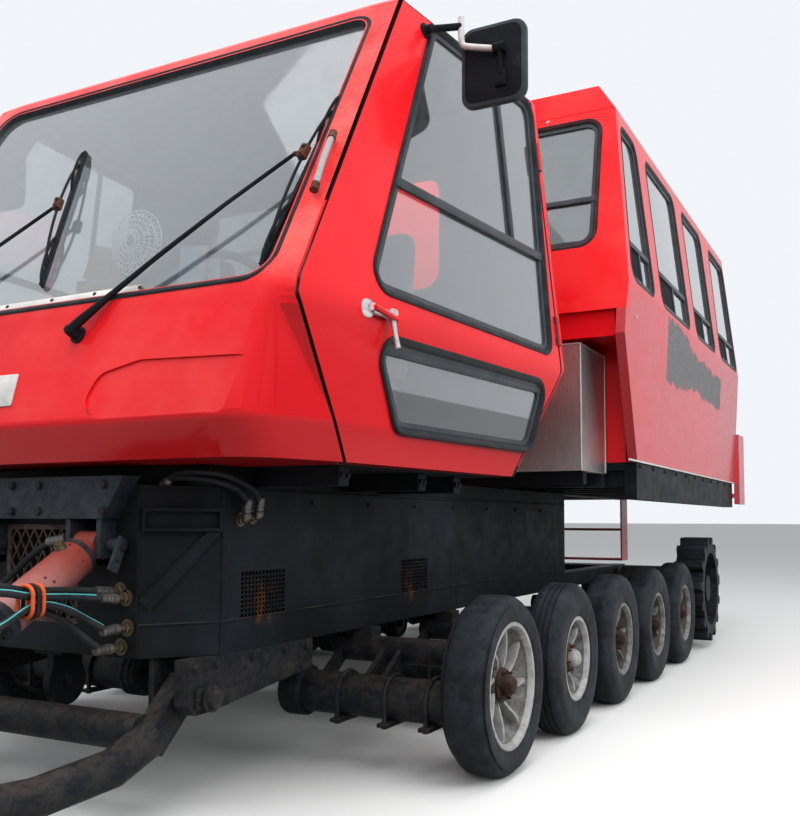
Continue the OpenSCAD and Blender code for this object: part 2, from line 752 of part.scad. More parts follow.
module cab_seats() color([0.16, 0.16, 0.18]) for (x = [-520, 420]) {
    block([x - 60, -120, cab_z + cab_wall + fit_gap], [x + 60, 60, 1330]);
    block([x - 240, -300, 1330], [x + 240, 200, 1450]);
    translate([x, 200, 1420]) rotate([-8, 0, 0]) block([-220, 0, 0], [220, 110, 680]);
}

// Wipers across: pivot, arm's end, blade's top and blade's foot
wiper_places = [[-726, -100, -214, 14], [279, 867, 879, 869]];
wiper_pivot_z = 1424;

module wiper(across) {
    translate([across[0], waist_front_y - 92 + (wiper_pivot_z - lip_z) * tan(nose_lean), wiper_pivot_z])
        rotate([90 - nose_lean, 0, 0]) translate([0, 0, fit_gap]) cylinder(h = 42, r = 22);
    bar([across[0], waist_front_y - 70, wiper_pivot_z], [across[1], waist_front_y + 205, 1926], 9);
    bar([across[2], waist_front_y + 372, 2201], [across[3], waist_front_y - 22, 1572], 8);
}

module wipers() color(hose_black) for (across = wiper_places) wiper(across);

// Mirror on a door: its foot stands on the door's front frame, and a bent tube carries the housing
mirror_tube_r = 11;
mirror_tube = [[1014, -279, 2575], [1112, -218, 2590], [1118, -218, 2523], [1250, -212, 2480], [1250, -186, 2385]];

module on_mirror_foot() on_upper_door() translate([812, 1102, 0]) children();

module door_mirror(side) color(hose_black) on_side(side) {
    on_mirror_foot() translate([0, 0, fit_gap]) cylinder(h = 30, r = 20);
    pipe(mirror_tube, mirror_tube_r);
    block([1098, -192, 2303], [1338, -160, 2590]);
}

// Cabin outline: height, half width, front station, rear station
cabin_lean = 104 / 902;
front_rake = 0.22;
overhang_z = 1848;
recess_z = 1728;
cabin_levels = [
    [cabin_z, belt_w - 47, cabin_front_y + 305, cabin_rear_y - 2],
    [1734, belt_w - 14, cabin_front_y - 29, cabin_rear_y],
    [overhang_z, belt_w - 7, cabin_front_y - 29, cabin_rear_y],
    [belt_z, belt_w, cabin_front_y, cabin_rear_y],
    [shoulder_z, belt_w - cabin_lean * (shoulder_z - belt_z), cabin_front_y + front_rake * (shoulder_z - belt_z), cabin_rear_y - 12],
    [cabin_top_z, belt_w - 195, cabin_front_y + front_rake * (cabin_top_z - belt_z), cabin_rear_y - 34]];

// Ring of the cabin's outline, its sides and its ends moved inwards by their own insets
function cabin_ring(z, level, side_in, end_in) =
    let (w = level[1] - side_in, f = level[2] + end_in, r = level[3] - end_in)
    [[w, f, z], [w, r, z], [-w, r, z], [-w, f, z]];

module cabin_solid() loft([for (level = cabin_levels) cabin_ring(level[0], level, 0, 0)]);

module cabin_hollow(end_in) {
    top = len(cabin_levels) - 1;
    loft([for (k = [0 : top]) let (level = cabin_levels[k])
        cabin_ring(level[0] - (k == 0 ? 1 : k == top ? cabin_wall : 0), level, cabin_wall, end_in)]);
}

// Side windows: front edge at the sill and at the top, then the rear edge
side_windows = [[1209, 1381, 1668], [1848, 1880, 2590], [2798, 2827, 3450], [3662, 3779, 4385]];
sill_v = 36;
window_top_v = shoulder_z - belt_z - 70;
side_window_r = 70;

module on_cabin_side() translate([belt_w, 0, belt_z]) rotate([0, -atan(cabin_lean), 0]) rotate([90, 0, 90]) children();

module side_window_outlines(inset) for (w = side_windows)
    window([[w[0], sill_v], [w[2], sill_v], [w[2], window_top_v], [w[1], window_top_v]], side_window_r, inset);

module on_cabin_front() translate([0, cabin_front_y, belt_z]) rotate([90 - atan(front_rake), 0, 0]) children();

front_window_v = [212, shoulder_z - belt_z - 26];
front_window_x = [belt_w - 657, belt_w - 175];

module front_window_outlines(inset) {
    window(rectangle(front_window_x[0], front_window_x[1], front_window_v[0], front_window_v[1]), 75, inset);
    window(rectangle(-front_window_x[1], -front_window_x[0], front_window_v[0], front_window_v[1]), 75, inset);
}

module cabin_windows(depth, thick, inset) {
    both_sides() on_cabin_side() translate([0, 0, depth]) linear_extrude(thick) side_window_outlines(inset);
    on_cabin_front() translate([0, 0, depth]) linear_extrude(thick) front_window_outlines(inset);
}

// Planes that part the front and rear walls from the sides
module front_cut(margin) plate_x(-1500, 1500, concat([[0, overhang_z]],
    [for (k = [2 : 5]) [cabin_levels[k][2] + cabin_wall + margin, k == 5 ? over_top_z : cabin_levels[k][0]]], [[0, over_top_z]]));

module rear_cut(margin) plate_x(-1500, 1500, concat([[5000, 1000]], [[5000, over_top_z]],
    [for (k = [5 : -1 : 0]) [cabin_levels[k][3] - cabin_wall - margin, k == 5 ? over_top_z : k == 0 ? 1000 : cabin_levels[k][0]]]));

module cabin_side_walls() color(faded_red) difference() {
    intersection() {
        cabin_solid();
        block([-1500, 0, cabin_z], [1500, 5000, shoulder_z]);
    }
    cabin_hollow(-500);
    cabin_windows(-150, 300, 0);
    front_cut(0);
    rear_cut(0);
}

recess_half_w = belt_w - 66;
recess_y = cabin_front_y - 2;
lower_wall_y = 1450;

module cabin_front_wall() color(red) {
    difference() {
        intersection() {
            cabin_solid();
            front_cut(-fit_gap);
            block([-1500, 0, overhang_z], [1500, 5000, shoulder_z]);
        }
        cabin_windows(-150, 300, 0);
    }
    difference() {
        block([-recess_half_w, recess_y, recess_z], [recess_half_w, lower_wall_y + cabin_wall, overhang_z + 1]);
        block([-recess_half_w + 20, recess_y + 20, recess_z + 20],
            [recess_half_w - 20, lower_wall_y + cabin_wall + 1, overhang_z + 2]);
    }
    block([-belt_w + 107, lower_wall_y, cabin_z], [belt_w - 107, lower_wall_y + cabin_wall, recess_z + 1]);
}

rear_door_half_w = 380;
rear_door_low = 1200;
rear_door_high = shoulder_z - 130;
rear_hinge_x = rear_door_half_w + 8;
rear_hinge_y = cabin_rear_y + 14;
rear_hinge_spots = [1340, 1840];
rear_hinge_r = 11;

module on_rear_hinge() for (z = rear_hinge_spots) translate([rear_hinge_x, rear_hinge_y, z]) children();

module cabin_rear_wall() color(faded_red) {
    difference() {
        intersection() {
            cabin_solid();
            rear_cut(-fit_gap);
            block([-1500, 0, cabin_z], [1500, 5000, shoulder_z]);
        }
        block([-rear_door_half_w - door_gap, 4000, rear_door_low - door_gap],
            [rear_door_half_w + door_gap, 5000, rear_door_high + door_gap]);
        cabin_windows(-150, 300, 0);
    }
    on_rear_hinge() {
        translate([0, 0, -door_knuckle / 2 - post_knuckle - 1])
            cylinder(h = door_knuckle + 2 * post_knuckle + 2, r = hinge_pin_r);
        for (z = [-door_knuckle / 2 - post_knuckle - 1, door_knuckle / 2 + 1]) {
            translate([0, 0, z]) cylinder(h = post_knuckle, r = rear_hinge_r);
            translate([0, -20, z]) cube([70, 16, post_knuckle]);
        }
    }
}

rear_window = rectangle(-240, 240, 2060, shoulder_z - 250);

module rear_door_glass() color(pane) intersection() {
    translate([0, 4600, 0]) rotate([90, 0, 0]) linear_extrude(500) window(rear_window, 60, fit_gap);
    rear_cut(-20);
    cabin_pane();
}

// Thin layer that follows the rear wall, inside its outer face
module cabin_pane() translate([0, -14, 0]) difference() {
    plate_x(-1500, 1500, concat([[3000, 1000]], [for (k = [0 : 5]) [cabin_levels[k][3], k == 0 ? 1000 : cabin_levels[k][0]]], [[3000, cabin_top_z]]));
    translate([0, -glass_t, 0])
        plate_x(-1501, 1501, concat([[2900, 999]], [for (k = [0 : 5]) [cabin_levels[k][3], k == 0 ? 999 : cabin_levels[k][0]]], [[2900, cabin_top_z + 1]]));
}

module rear_door() color(faded_red) difference() {
    union() {
        intersection() {
            cabin_solid();
            rear_cut(-fit_gap);
            block([-rear_door_half_w, 4000, rear_door_low], [rear_door_half_w, 5000, rear_door_high]);
        }
        on_rear_hinge() {
            translate([0, 0, -door_knuckle / 2]) cylinder(h = door_knuckle, r = rear_hinge_r);
            translate([-70, -20, -door_knuckle / 2]) cube([70, 16, door_knuckle]);
        }
        block([-rear_door_half_w + 40, cabin_rear_y - 1, 1880], [-rear_door_half_w + 60, cabin_rear_y + 46, 1900]);
        block([-rear_door_half_w + 40, cabin_rear_y + 34, 1760], [-rear_door_half_w + 60, cabin_rear_y + 46, 1900]);
    }
    translate([0, 4600, 0]) rotate([90, 0, 0]) linear_extrude(500)
        window(rear_window, 60, 0);
    on_rear_hinge() translate([0, 0, -door_knuckle / 2 - 1])
        cylinder(h = door_knuckle + 2, r = hinge_pin_r + pin_play);
}

step_half_w = 420;

module rear_step() color(faded_red) {
    y0 = cabin_rear_y;
    both_sides() block([belt_w - 47, y0 + fit_gap, 1010], [belt_w - 7, rear_reach_y, 1540]);
    block([-belt_w + 37, y0 + fit_gap, 1060], [belt_w - 37, rear_reach_y, 1090]);
    for (x = [-step_half_w, step_half_w - 12])
        plate_x(x, x + 12, [[y0 + 60, 1061], [y0 + 60, 560], [rear_reach_y - 20, 560], [rear_reach_y - 20, 1061]]);
    for (z = [580, 820]) block([-step_half_w + 11, y0 + 60, z - 20], [step_half_w - 11, rear_reach_y - 20, z]);
}

module cabin_roof() color(red) intersection() {
    difference() {
        cabin_solid();
        cabin_hollow(cabin_wall);
    }
    block([-1500, 0, shoulder_z + fit_gap], [1500, 5000, over_top_z]);
}

module cabin_glass() color(pane) cabin_windows(-24, glass_t, fit_gap);

floor_front_y = 1450;
floor_half_w = belt_w - 57;
floor_top_z = cabin_z - fit_gap;
floor_frame_z = 1126;

module cabin_floor() color(black_steel) {
    block([-floor_half_w, floor_front_y, floor_frame_z], [floor_half_w, cabin_rear_y - 30, floor_top_z]);
    for (y = [floor_front_y + 30 : 350 : cabin_rear_y - 100])
        block([-floor_half_w, y, deck_top + fit_gap], [floor_half_w, y + 60, floor_frame_z + 1]);
    both_sides() block([floor_half_w - 60, floor_front_y, tub_top_z], [floor_half_w, cabin_rear_y - 30, floor_frame_z + 1]);
    both_sides() block([400, 1060, deck_top + fit_gap], [480, cabin_rear_y - fit_gap, floor_frame_z + 1]);
    for (y = [1070, 1380]) block([-belt_w + 207, y, deck_top + fit_gap], [belt_w - 207, y + 50, 1112 - fit_gap]);
}

bench_out = belt_w - 167;
bench_rear_y = cabin_rear_y - 181;

module cabin_benches() color([0.14, 0.14, 0.16]) both_sides() {
    block([bench_out - 360, 1700, cabin_z + 260], [bench_out, bench_rear_y, cabin_z + 380]);
    block([bench_out - 90, 1700, cabin_z + 380], [bench_out, bench_rear_y, cabin_z + 760]);
    for (y = [1800, 2900, bench_rear_y - 150]) block([bench_out - 320, y, cabin_z], [bench_out - 20, y + 50, cabin_z + 261]);
}

// Push frame and its lift cylinders
arm_points = [
    [468, pivot_y - 113, pivot_z - 104], [450, -1120, 190], [380, -1330, 150],
    [300, -1600, 150], [270, push_front_y + 30, 160]];

plate_low = 95;
plate_high = 330;
plate_mid = (plate_low + plate_high) / 2;
plate_t = 30;
blade_bolt_x = 380;
blade_bolt_z = 80;
blade_bolt_r = 11;

module push_frame() color(rust) {
    both_sides() difference() {
        union() {
            pipe(arm_points, pipe_r);
            link_x(436, 501, [pivot_y, pivot_z], [pivot_y - 100, pivot_z - 92], 46);
        }
        disc_x(430, 510, pivot_y, pivot_z, pivot_pin_r + pin_play);
    }
    bar([-450, -1000, 262], [450, -1000, 262], pipe_r);
    difference() {
        block([-420, push_front_y, plate_low], [420, push_front_y + plate_t, plate_high]);
        for (x = [-blade_bolt_x, blade_bolt_x], z = [-blade_bolt_z, blade_bolt_z])
            translate([x, push_front_y - 1, plate_mid + z]) rotate([-90, 0, 0])
                cylinder(h = plate_t + 2, r = blade_bolt_r);
    }
    both_sides() {
        for (cheek = [[lift_x - 66, lift_x - 44], [lift_x + 44, lift_x + 66]])
            plate_x(cheek[0], cheek[1], [
                [push_front_y + 25, 150], [push_front_y + 25, 320], [lift_low_y - 36, lift_low_z + 30],
                [lift_low_y + 36, lift_low_z + 30], [lift_low_y + 60, 400], [-1400, 150]]);
        disc_x(lift_x - 76, lift_x + 76, lift_low_y, lift_low_z, lift_pin_r);
    }
}

lift_run = [lift_low_y - lift_top_y, lift_low_z - lift_top_z];
lift_length = norm(lift_run);
lift_angle = atan2(lift_run[1], lift_run[0]);
barrel_length = 380;
rod_eye_play = 5;

// Cylinder frame: along its own axis from the upper pin
module on_lift(side) on_side(side) translate([lift_x, lift_top_y, lift_top_z]) rotate([lift_angle, 0, 0]) children();

module lift_barrel(side) color([0.76, 0.42, 0.40]) on_lift(side) difference() {
    union() {
        disc_x(-rod_eye_half_w, rod_eye_half_w, 0, 0, 42);
        translate([0, 30, 0]) rotate([-90, 0, 0]) cylinder(h = 40, r = 40);
        translate([0, 60, 0]) rotate([-90, 0, 0]) cylinder(h = barrel_length - 60, r = barrel_r);
    }
    disc_x(-50, 50, 0, 0, lift_pin_r + pin_play);
    translate([0, 80, 0]) rotate([-90, 0, 0]) cylinder(h = barrel_length, r = rod_r + pin_play);
}

module lift_rod(side) color(alloy) on_lift(side) difference() {
    union() {
        translate([0, 300, 0]) rotate([-90, 0, 0]) cylinder(h = lift_length - 330, r = rod_r);
        disc_x(-rod_eye_half_w, rod_eye_half_w, lift_length, 0, 40);
    }
    disc_x(-50, 50, lift_length, 0, lift_pin_r + rod_eye_play);
}

// Hydraulic hoses on the tub's front: each loop joins two ports, [x, y, z]
hose_r = 10;
port_r = 13;
hose_y = tub_front_y - 46;
outer_loop = [
    [336, hose_y, 668], [336, -1110, 676], [335, -1220, 684], [335, -1330, 690], [335, -1430, 708], [335, -1510, 712],
    [336, -1574, 676], [336, -1590, 620], [337, -1550, 580], [338, -1460, 588], [339, -1330, 636], [340, -1230, 612],
    [342, -1130, 546], [343, -1070, 506], [344, hose_y, 502]];
inner_loop = [
    [360, hose_y, 648], [360, -1110, 656], [360, -1220, 666], [360, -1330, 674], [360, -1420, 690], [360, -1480, 690],
    [360, -1530, 660], [361, -1540, 620], [362, -1500, 592], [363, -1430, 606], [364, -1330, 650], [365, -1230, 636],
    [366, -1130, 590], [367, -1070, 562], [368, hose_y, 560]];
grille_hose = [
    [150, -1034, 822], [110, -1046, 812], [60, -1056, 786], [0, -1060, 742], [-60, -1058, 700], [-130, -1050, 668],
    [-210, -1040, 652], [-290, -1036, 648], [-340, -1036, 650]];
side_hoses = [
    [[596, -716, 890], [604, -726, 930], [608, -765, 968], [604, -820, 986], [585, -872, 1000],
     [540, -895, 1006], [470, -905, 1008], [430, -905, 990], [420, -905, 940]],
    [[596, -652, 898], [606, -664, 934], [614, -704, 972], [614, -780, 1000], [604, -850, 1018],
     [570, -895, 1024], [500, -908, 1024], [450, -908, 1005], [440, -908, 950]]];
clamp_y = [-1346, -1328, -1310];

module hydraulic_hoses() color(hose_black) {
    hose(outer_loop, hose_r);
    hose(inner_loop, hose_r);
    for (y = clamp_y)
        translate([0, y, 0]) rotate([90, 0, 0]) linear_extrude(12)
            window(rectangle(319, 380, 618, 706), 20, 0);
    for (port = [outer_loop[0], outer_loop[14], inner_loop[0], inner_loop[14]])
        bar([port[0], tub_front_y - fit_gap, port[2]], [port[0], hose_y - 26, port[2]], port_r);
    hose(grille_hose, hose_r);
    bar([lift_x - bracket_half_w - fit_gap, -1034, 822], [142, -1034, 822], port_r);
    bar([-338, tub_front_y - fit_gap, 650], [-338, -1052, 650], port_r);
    for (route = side_hoses) {
        hose(route, hose_r);
        bar([tub_half_w + fit_gap, route[0][1], route[0][2] - 8], [610, route[0][1], route[0][2] - 8], port_r);
        bar([596, route[0][1], route[0][2] - 8], [600, route[0][1] - 6, route[0][2] + 34], port_r);
    }
}

from_middle() chassis_tub();
from_middle() corner_braces();
from_middle() tow_lug();
from_middle() hydraulic_hoses();
from_middle() engine_block();
from_middle() front_crossbeam();
from_middle() front_grille();
from_middle() lower_rails();
from_middle() swing_axles();
from_middle() rear_frame();
from_middle() final_drives();
from_middle() cab_deck();
from_middle() storage_box();
from_middle() cab_front_shell();
from_middle() windshield();
from_middle() cab_roof();
from_middle() cab_rear_wall();
from_middle() cab_floor();
from_middle() dashboard();
from_middle() cab_seats();
from_middle() wipers();
from_middle() door_mirror(LEFT);  // mirror_left
from_middle() door_mirror(RIGHT);  // mirror_right
from_middle() door(LEFT);  // door_left
from_middle() door_glass(LEFT);  // door_left_glass
from_middle() door(RIGHT);  // door_right
from_middle() door_glass(RIGHT);  // door_right_glass
from_middle() cabin_floor();
from_middle() cabin_front_wall();
from_middle() cabin_side_walls();
from_middle() cabin_rear_wall();
from_middle() cabin_roof();
from_middle() cabin_glass();
from_middle() cabin_benches();
from_middle() rear_door();
from_middle() rear_door_glass();
from_middle() rear_step();
from_middle() push_frame();
from_middle() lift_barrel(LEFT);  // lift_barrel_left
from_middle() lift_rod(LEFT);  // lift_rod_left
from_middle() lift_barrel(RIGHT);  // lift_barrel_right
from_middle() lift_rod(RIGHT);  // lift_rod_right
from_middle() road_wheel(LEFT, 1);  // wheel_left_1
from_middle() road_wheel(LEFT, 2);  // wheel_left_2
from_middle() road_wheel(LEFT, 3);  // wheel_left_3
from_middle() road_wheel(LEFT, 4);  // wheel_left_4
from_middle() road_wheel(LEFT, 5);  // wheel_left_5
from_middle() road_wheel(RIGHT, 1);  // wheel_right_1
from_middle() road_wheel(RIGHT, 2);  // wheel_right_2
from_middle() road_wheel(RIGHT, 3);  // wheel_right_3
from_middle() road_wheel(RIGHT, 4);  // wheel_right_4
from_middle() road_wheel(RIGHT, 5);  // wheel_right_5
from_middle() sprocket(LEFT);  // sprocket_left
from_middle() sprocket(RIGHT);  // sprocket_right
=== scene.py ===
"""Looks of a passenger snowcat, standing on its bare road wheels."""
import json
import math
import random

import bmesh
import bpy
from mathutils import Matrix, Vector
from mathutils.bvhtree import BVHTree


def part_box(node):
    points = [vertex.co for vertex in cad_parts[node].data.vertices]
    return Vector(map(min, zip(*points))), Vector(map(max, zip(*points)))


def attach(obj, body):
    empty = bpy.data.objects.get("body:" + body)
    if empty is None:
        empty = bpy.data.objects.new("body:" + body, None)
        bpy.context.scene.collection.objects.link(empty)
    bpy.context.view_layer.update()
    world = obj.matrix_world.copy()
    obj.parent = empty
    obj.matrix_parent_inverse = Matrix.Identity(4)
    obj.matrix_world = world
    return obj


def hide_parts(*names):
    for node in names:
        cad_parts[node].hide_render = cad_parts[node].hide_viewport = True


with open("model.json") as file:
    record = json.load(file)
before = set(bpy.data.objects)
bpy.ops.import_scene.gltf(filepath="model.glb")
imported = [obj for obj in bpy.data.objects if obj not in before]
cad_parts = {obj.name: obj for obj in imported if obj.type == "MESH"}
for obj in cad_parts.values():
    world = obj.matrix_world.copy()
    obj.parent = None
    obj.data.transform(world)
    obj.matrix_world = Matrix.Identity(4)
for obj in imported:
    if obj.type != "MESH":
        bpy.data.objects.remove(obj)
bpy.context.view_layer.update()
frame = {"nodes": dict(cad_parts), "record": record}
NODES = frame["nodes"]
MM = 0.001


# Places: millimetres across, along from the front road wheel's axle, and up
def middle(node):
    low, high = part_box(node)
    return (low + high) / 2


AXLE_Y = middle("wheel_left_1").y


def at(x, y, z):
    return Vector((x * MM, y * MM + AXLE_Y, z * MM))


# Camera: where the photographer stood, low beside the front left corner
CAMERA_AT = (2407, -3116, 882)
CAMERA_YAW = 27.81
CAMERA_PITCH = 3.80
CAMERA_ROLL = 0.17
FOCAL_PIXELS = 944.34
FRAME_WIDTH = 800
FRAME_HEIGHT = 816
OPTICAL_CENTRE = (400.39, 457.26)
SENSOR_MM = 36.0
CAMERA_REACH = 800


def add_camera():
    yaw, pitch = math.radians(CAMERA_YAW), math.radians(CAMERA_PITCH)
    forward = Vector((-math.sin(yaw) * math.cos(pitch), math.cos(yaw) * math.cos(pitch), math.sin(pitch)))
    right = Vector((math.cos(yaw), math.sin(yaw), 0))
    up = right.cross(forward)
    turn = Matrix((right, up, -forward)).transposed().to_4x4()
    data = bpy.data.cameras.new("camera")
    data.sensor_width = SENSOR_MM
    data.lens = FOCAL_PIXELS / FRAME_HEIGHT * SENSOR_MM
    data.shift_x = (FRAME_WIDTH / 2 - OPTICAL_CENTRE[0]) / FRAME_HEIGHT
    data.shift_y = (OPTICAL_CENTRE[1] - FRAME_HEIGHT / 2) / FRAME_HEIGHT
    data.clip_end = CAMERA_REACH
    camera = bpy.data.objects.new("camera", data)
    roll = Matrix.Rotation(math.radians(CAMERA_ROLL), 4, "Z")
    camera.matrix_world = Matrix.Translation(at(*CAMERA_AT)) @ turn @ roll
    bpy.context.scene.collection.objects.link(camera)
    bpy.context.scene.camera = camera


# Materials: a small builder round one Principled shader
class Shader:
    def __init__(self, name, color, roughness=0.5, metallic=0.0, **sockets):
        self.material = bpy.data.materials.new(name)
        self.material.use_nodes = True
        self.tree = self.material.node_tree
        self.surface = self.tree.nodes["Principled BSDF"]
        self.output = self.tree.nodes["Material Output"]
        self.set("Base Color", color)
        self.set("Roughness", roughness)
        self.set("Metallic", metallic)
        for socket, value in sockets.items():
            self.set(socket.replace("_", " "), value)
        self.corners = self.add("ShaderNodeTexCoord")
        self.place = self.corners.outputs["Object"]

    def add(self, kind, inputs=None, **settings):
        node = self.tree.nodes.new(kind)
        for key, value in settings.items():
            setattr(node, key, value)
        for key, value in (inputs or {}).items():
            self.put(node.inputs[key], value)
        return node

    def put(self, socket, value):
        if isinstance(value, bpy.types.NodeSocket):
            self.tree.links.new(value, socket)
        elif hasattr(value, "__len__") and len(value) == 3 and socket.type == "RGBA":
            socket.default_value = (*value, 1)
        else:
            socket.default_value = value

    def set(self, name, value):
        self.put(self.surface.inputs[name], value)

    def stretched(self, x, y, z):
        return self.add("ShaderNodeVectorMath", {0: self.place, 1: (x, y, z)},
                        operation="MULTIPLY").outputs[0]

    def noise(self, scale, detail=4, roughness=0.55, place=None):
        inputs = {"Scale": scale, "Detail": detail, "Roughness": roughness, "Vector": place or self.place}
        return self.add("ShaderNodeTexNoise", inputs).outputs["Fac"]

    def cells(self, scale):
        return self.add("ShaderNodeTexVoronoi", {"Scale": scale, "Vector": self.place}).outputs["Distance"]

    def step(self, value, low, high):
        """0 below low and 1 above high, also with low above high"""
        inputs = {"Value": value, "From Min": min(low, high), "From Max": max(low, high),
                  "To Min": int(low >= high), "To Max": int(low < high)}
        return self.add("ShaderNodeMapRange", inputs, interpolation_type="SMOOTHSTEP").outputs[0]

    def scale(self, value, low, high):
        return self.add("ShaderNodeMapRange", {"Value": value, "To Min": low, "To Max": high}).outputs[0]

    def math(self, operation, a, b=0.0):
        return self.add("ShaderNodeMath", {0: a, 1: b}, operation=operation).outputs[0]

    def times(self, *values):
        result = values[0]
        for value in values[1:]:
            result = self.math("MULTIPLY", result, value)
        return result

    def most(self, a, b):
        return self.math("MAXIMUM", a, b)

    def mix(self, share, a, b):
        return self.add("ShaderNodeMix", {0: share, 6: a, 7: b}, data_type="RGBA").outputs[2]

    def axis(self, name, place=None):
        return self.add("ShaderNodeSeparateXYZ", {0: place or self.place}).outputs[name]

    def facing_up(self):
        return self.axis("Z", self.add("ShaderNodeNewGeometry").outputs["Normal"])

    def facing_inwards(self, centre_y, centre_z):
        """1 on faces that look towards a line across the vehicle, as a hollow body's inner faces do"""
        line = self.add("ShaderNodeCombineXYZ", {"Y": centre_y, "Z": centre_z}).outputs[0]
        away = self.add("ShaderNodeVectorMath", {0: self.stretched(0, 1, 1), 1: line},
                        operation="SUBTRACT").outputs[0]
        outwards = self.add("ShaderNodeVectorMath", {0: away, 1: self.stretched(1, 0, 0)},
                            operation="ADD").outputs[0]
        dot = self.add("ShaderNodeVectorMath", {0: outwards, 1: self.corners.outputs["Normal"]},
                       operation="DOT_PRODUCT")
        return self.step(dot.outputs["Value"], 0.0, -0.01)

    def shade_inside(self, shade, centre_y, centre_z):
        """The colour outside, and painted shade on a hollow body's inner faces: a mottled dark grey"""
        painted_inner_shade = self.mix(self.noise(14, 5, 0.65), INNER_SHADE_DARK, INNER_SHADE_LIGHT)
        return self.mix(self.facing_inwards(centre_y, centre_z), shade, painted_inner_shade)

    def bump(self, height, depth_mm, strength=1.0):
        node = self.add("ShaderNodeBump", {"Height": height, "Strength": strength, "Distance": depth_mm * MM})
        before = self.surface.inputs["Normal"]
        if before.is_linked:
            self.put(node.inputs["Normal"], before.links[0].from_socket)
        self.put(before, node.outputs[0])
        return self

    def finished(self, color, roughness, *bumps):
        """Each bump: its height input, depth in millimetres and strength"""
        self.set("Base Color", color)
        self.set("Roughness", roughness)
        for bump in bumps:
            self.bump(*bump)
        return self.material


# Heights and places in metres that the paint follows, and tones that repeat
LIP_Z = 1.155
CAB_LOW_Z = 1.048
CHIP = (0.42, 0.24, 0.23)
DUST = (0.075, 0.060, 0.052)
CAB_MIDDLE = (-1.75, 1.75)
CABIN_MIDDLE = (1.45, 2.00)
# Dark greys painted on the inner faces of the cab and cabin, as the shade inside them
INNER_SHADE_DARK, INNER_SHADE_LIGHT = (0.030, 0.032, 0.035), (0.062, 0.065, 0.070)


def red_paint():
    s = Shader("red_paint", (0.7, 0.01, 0.015), 0.3, Coat_Weight=0.22, Coat_Roughness=0.10,
               Specular_IOR_Level=0.12)
    z = s.axis("Z")
    shade = s.mix(s.step(s.noise(1.6, 5), 0.35, 0.7), (0.74, 0.007, 0.013), (0.64, 0.006, 0.011))
    # Painted reflection of the sky: the red turns pale on upward faces, mottled by a noise
    sky_sheen = s.times(s.step(s.noise(4, 7, 0.65), 0.30, 0.72), s.step(s.facing_up(), 0.05, 0.55))
    shade = s.mix(s.scale(sky_sheen, 0, 0.62), shade, (0.84, 0.13, 0.11))
    # Painted shade under the lip: a darker red on the band between the cab's lower edge and the lip
    under_lip_shade = s.times(s.step(z, LIP_Z + 0.012, LIP_Z - 0.012),
                       s.step(z, CAB_LOW_Z - 0.02, CAB_LOW_Z + 0.005))
    shade = s.mix(s.scale(under_lip_shade, 0, 0.45), shade, (0.40, 0.004, 0.008))
    edge = s.most(s.times(s.step(z, CAB_LOW_Z + 0.016, CAB_LOW_Z + 0.002), 0.9),
                  s.times(s.step(z, LIP_Z - 0.008, LIP_Z), s.step(z, LIP_Z + 0.008, LIP_Z), 0.35))
    flaking = s.math("ADD", s.times(edge, 0.24), s.noise(90, 5, 0.8, s.stretched(0.6, 0.6, 1)))
    chips = s.step(flaking, 0.83, 0.87)
    shade = s.mix(chips, shade, CHIP)
    specks = s.step(s.noise(210, 2), 0.765, 0.79)
    shade = s.mix(s.times(specks, 0.6), shade, (0.25, 0.02, 0.02))
    behind = s.step(s.axis("Y"), -0.72, -0.68)
    middle_line = [s.scale(behind, a, b) for a, b in zip(CAB_MIDDLE, CABIN_MIDDLE)]
    # Inner faces get painted shade, a dark grey, instead of the red
    return s.finished(s.shade_inside(shade, *middle_line), s.scale(s.noise(9, 6, 0.6), 0.22, 0.46),
                      (s.noise(240, 2), 0.10, 0.5), (s.noise(3.0, 2), 2.2, 0.35), (chips, -0.25, 0.8))


PATCH_FRONT = 0.52
PATCH_REAR = 2.22
PATCH_LOW = 1.75
PATCH_HIGH = 1.80


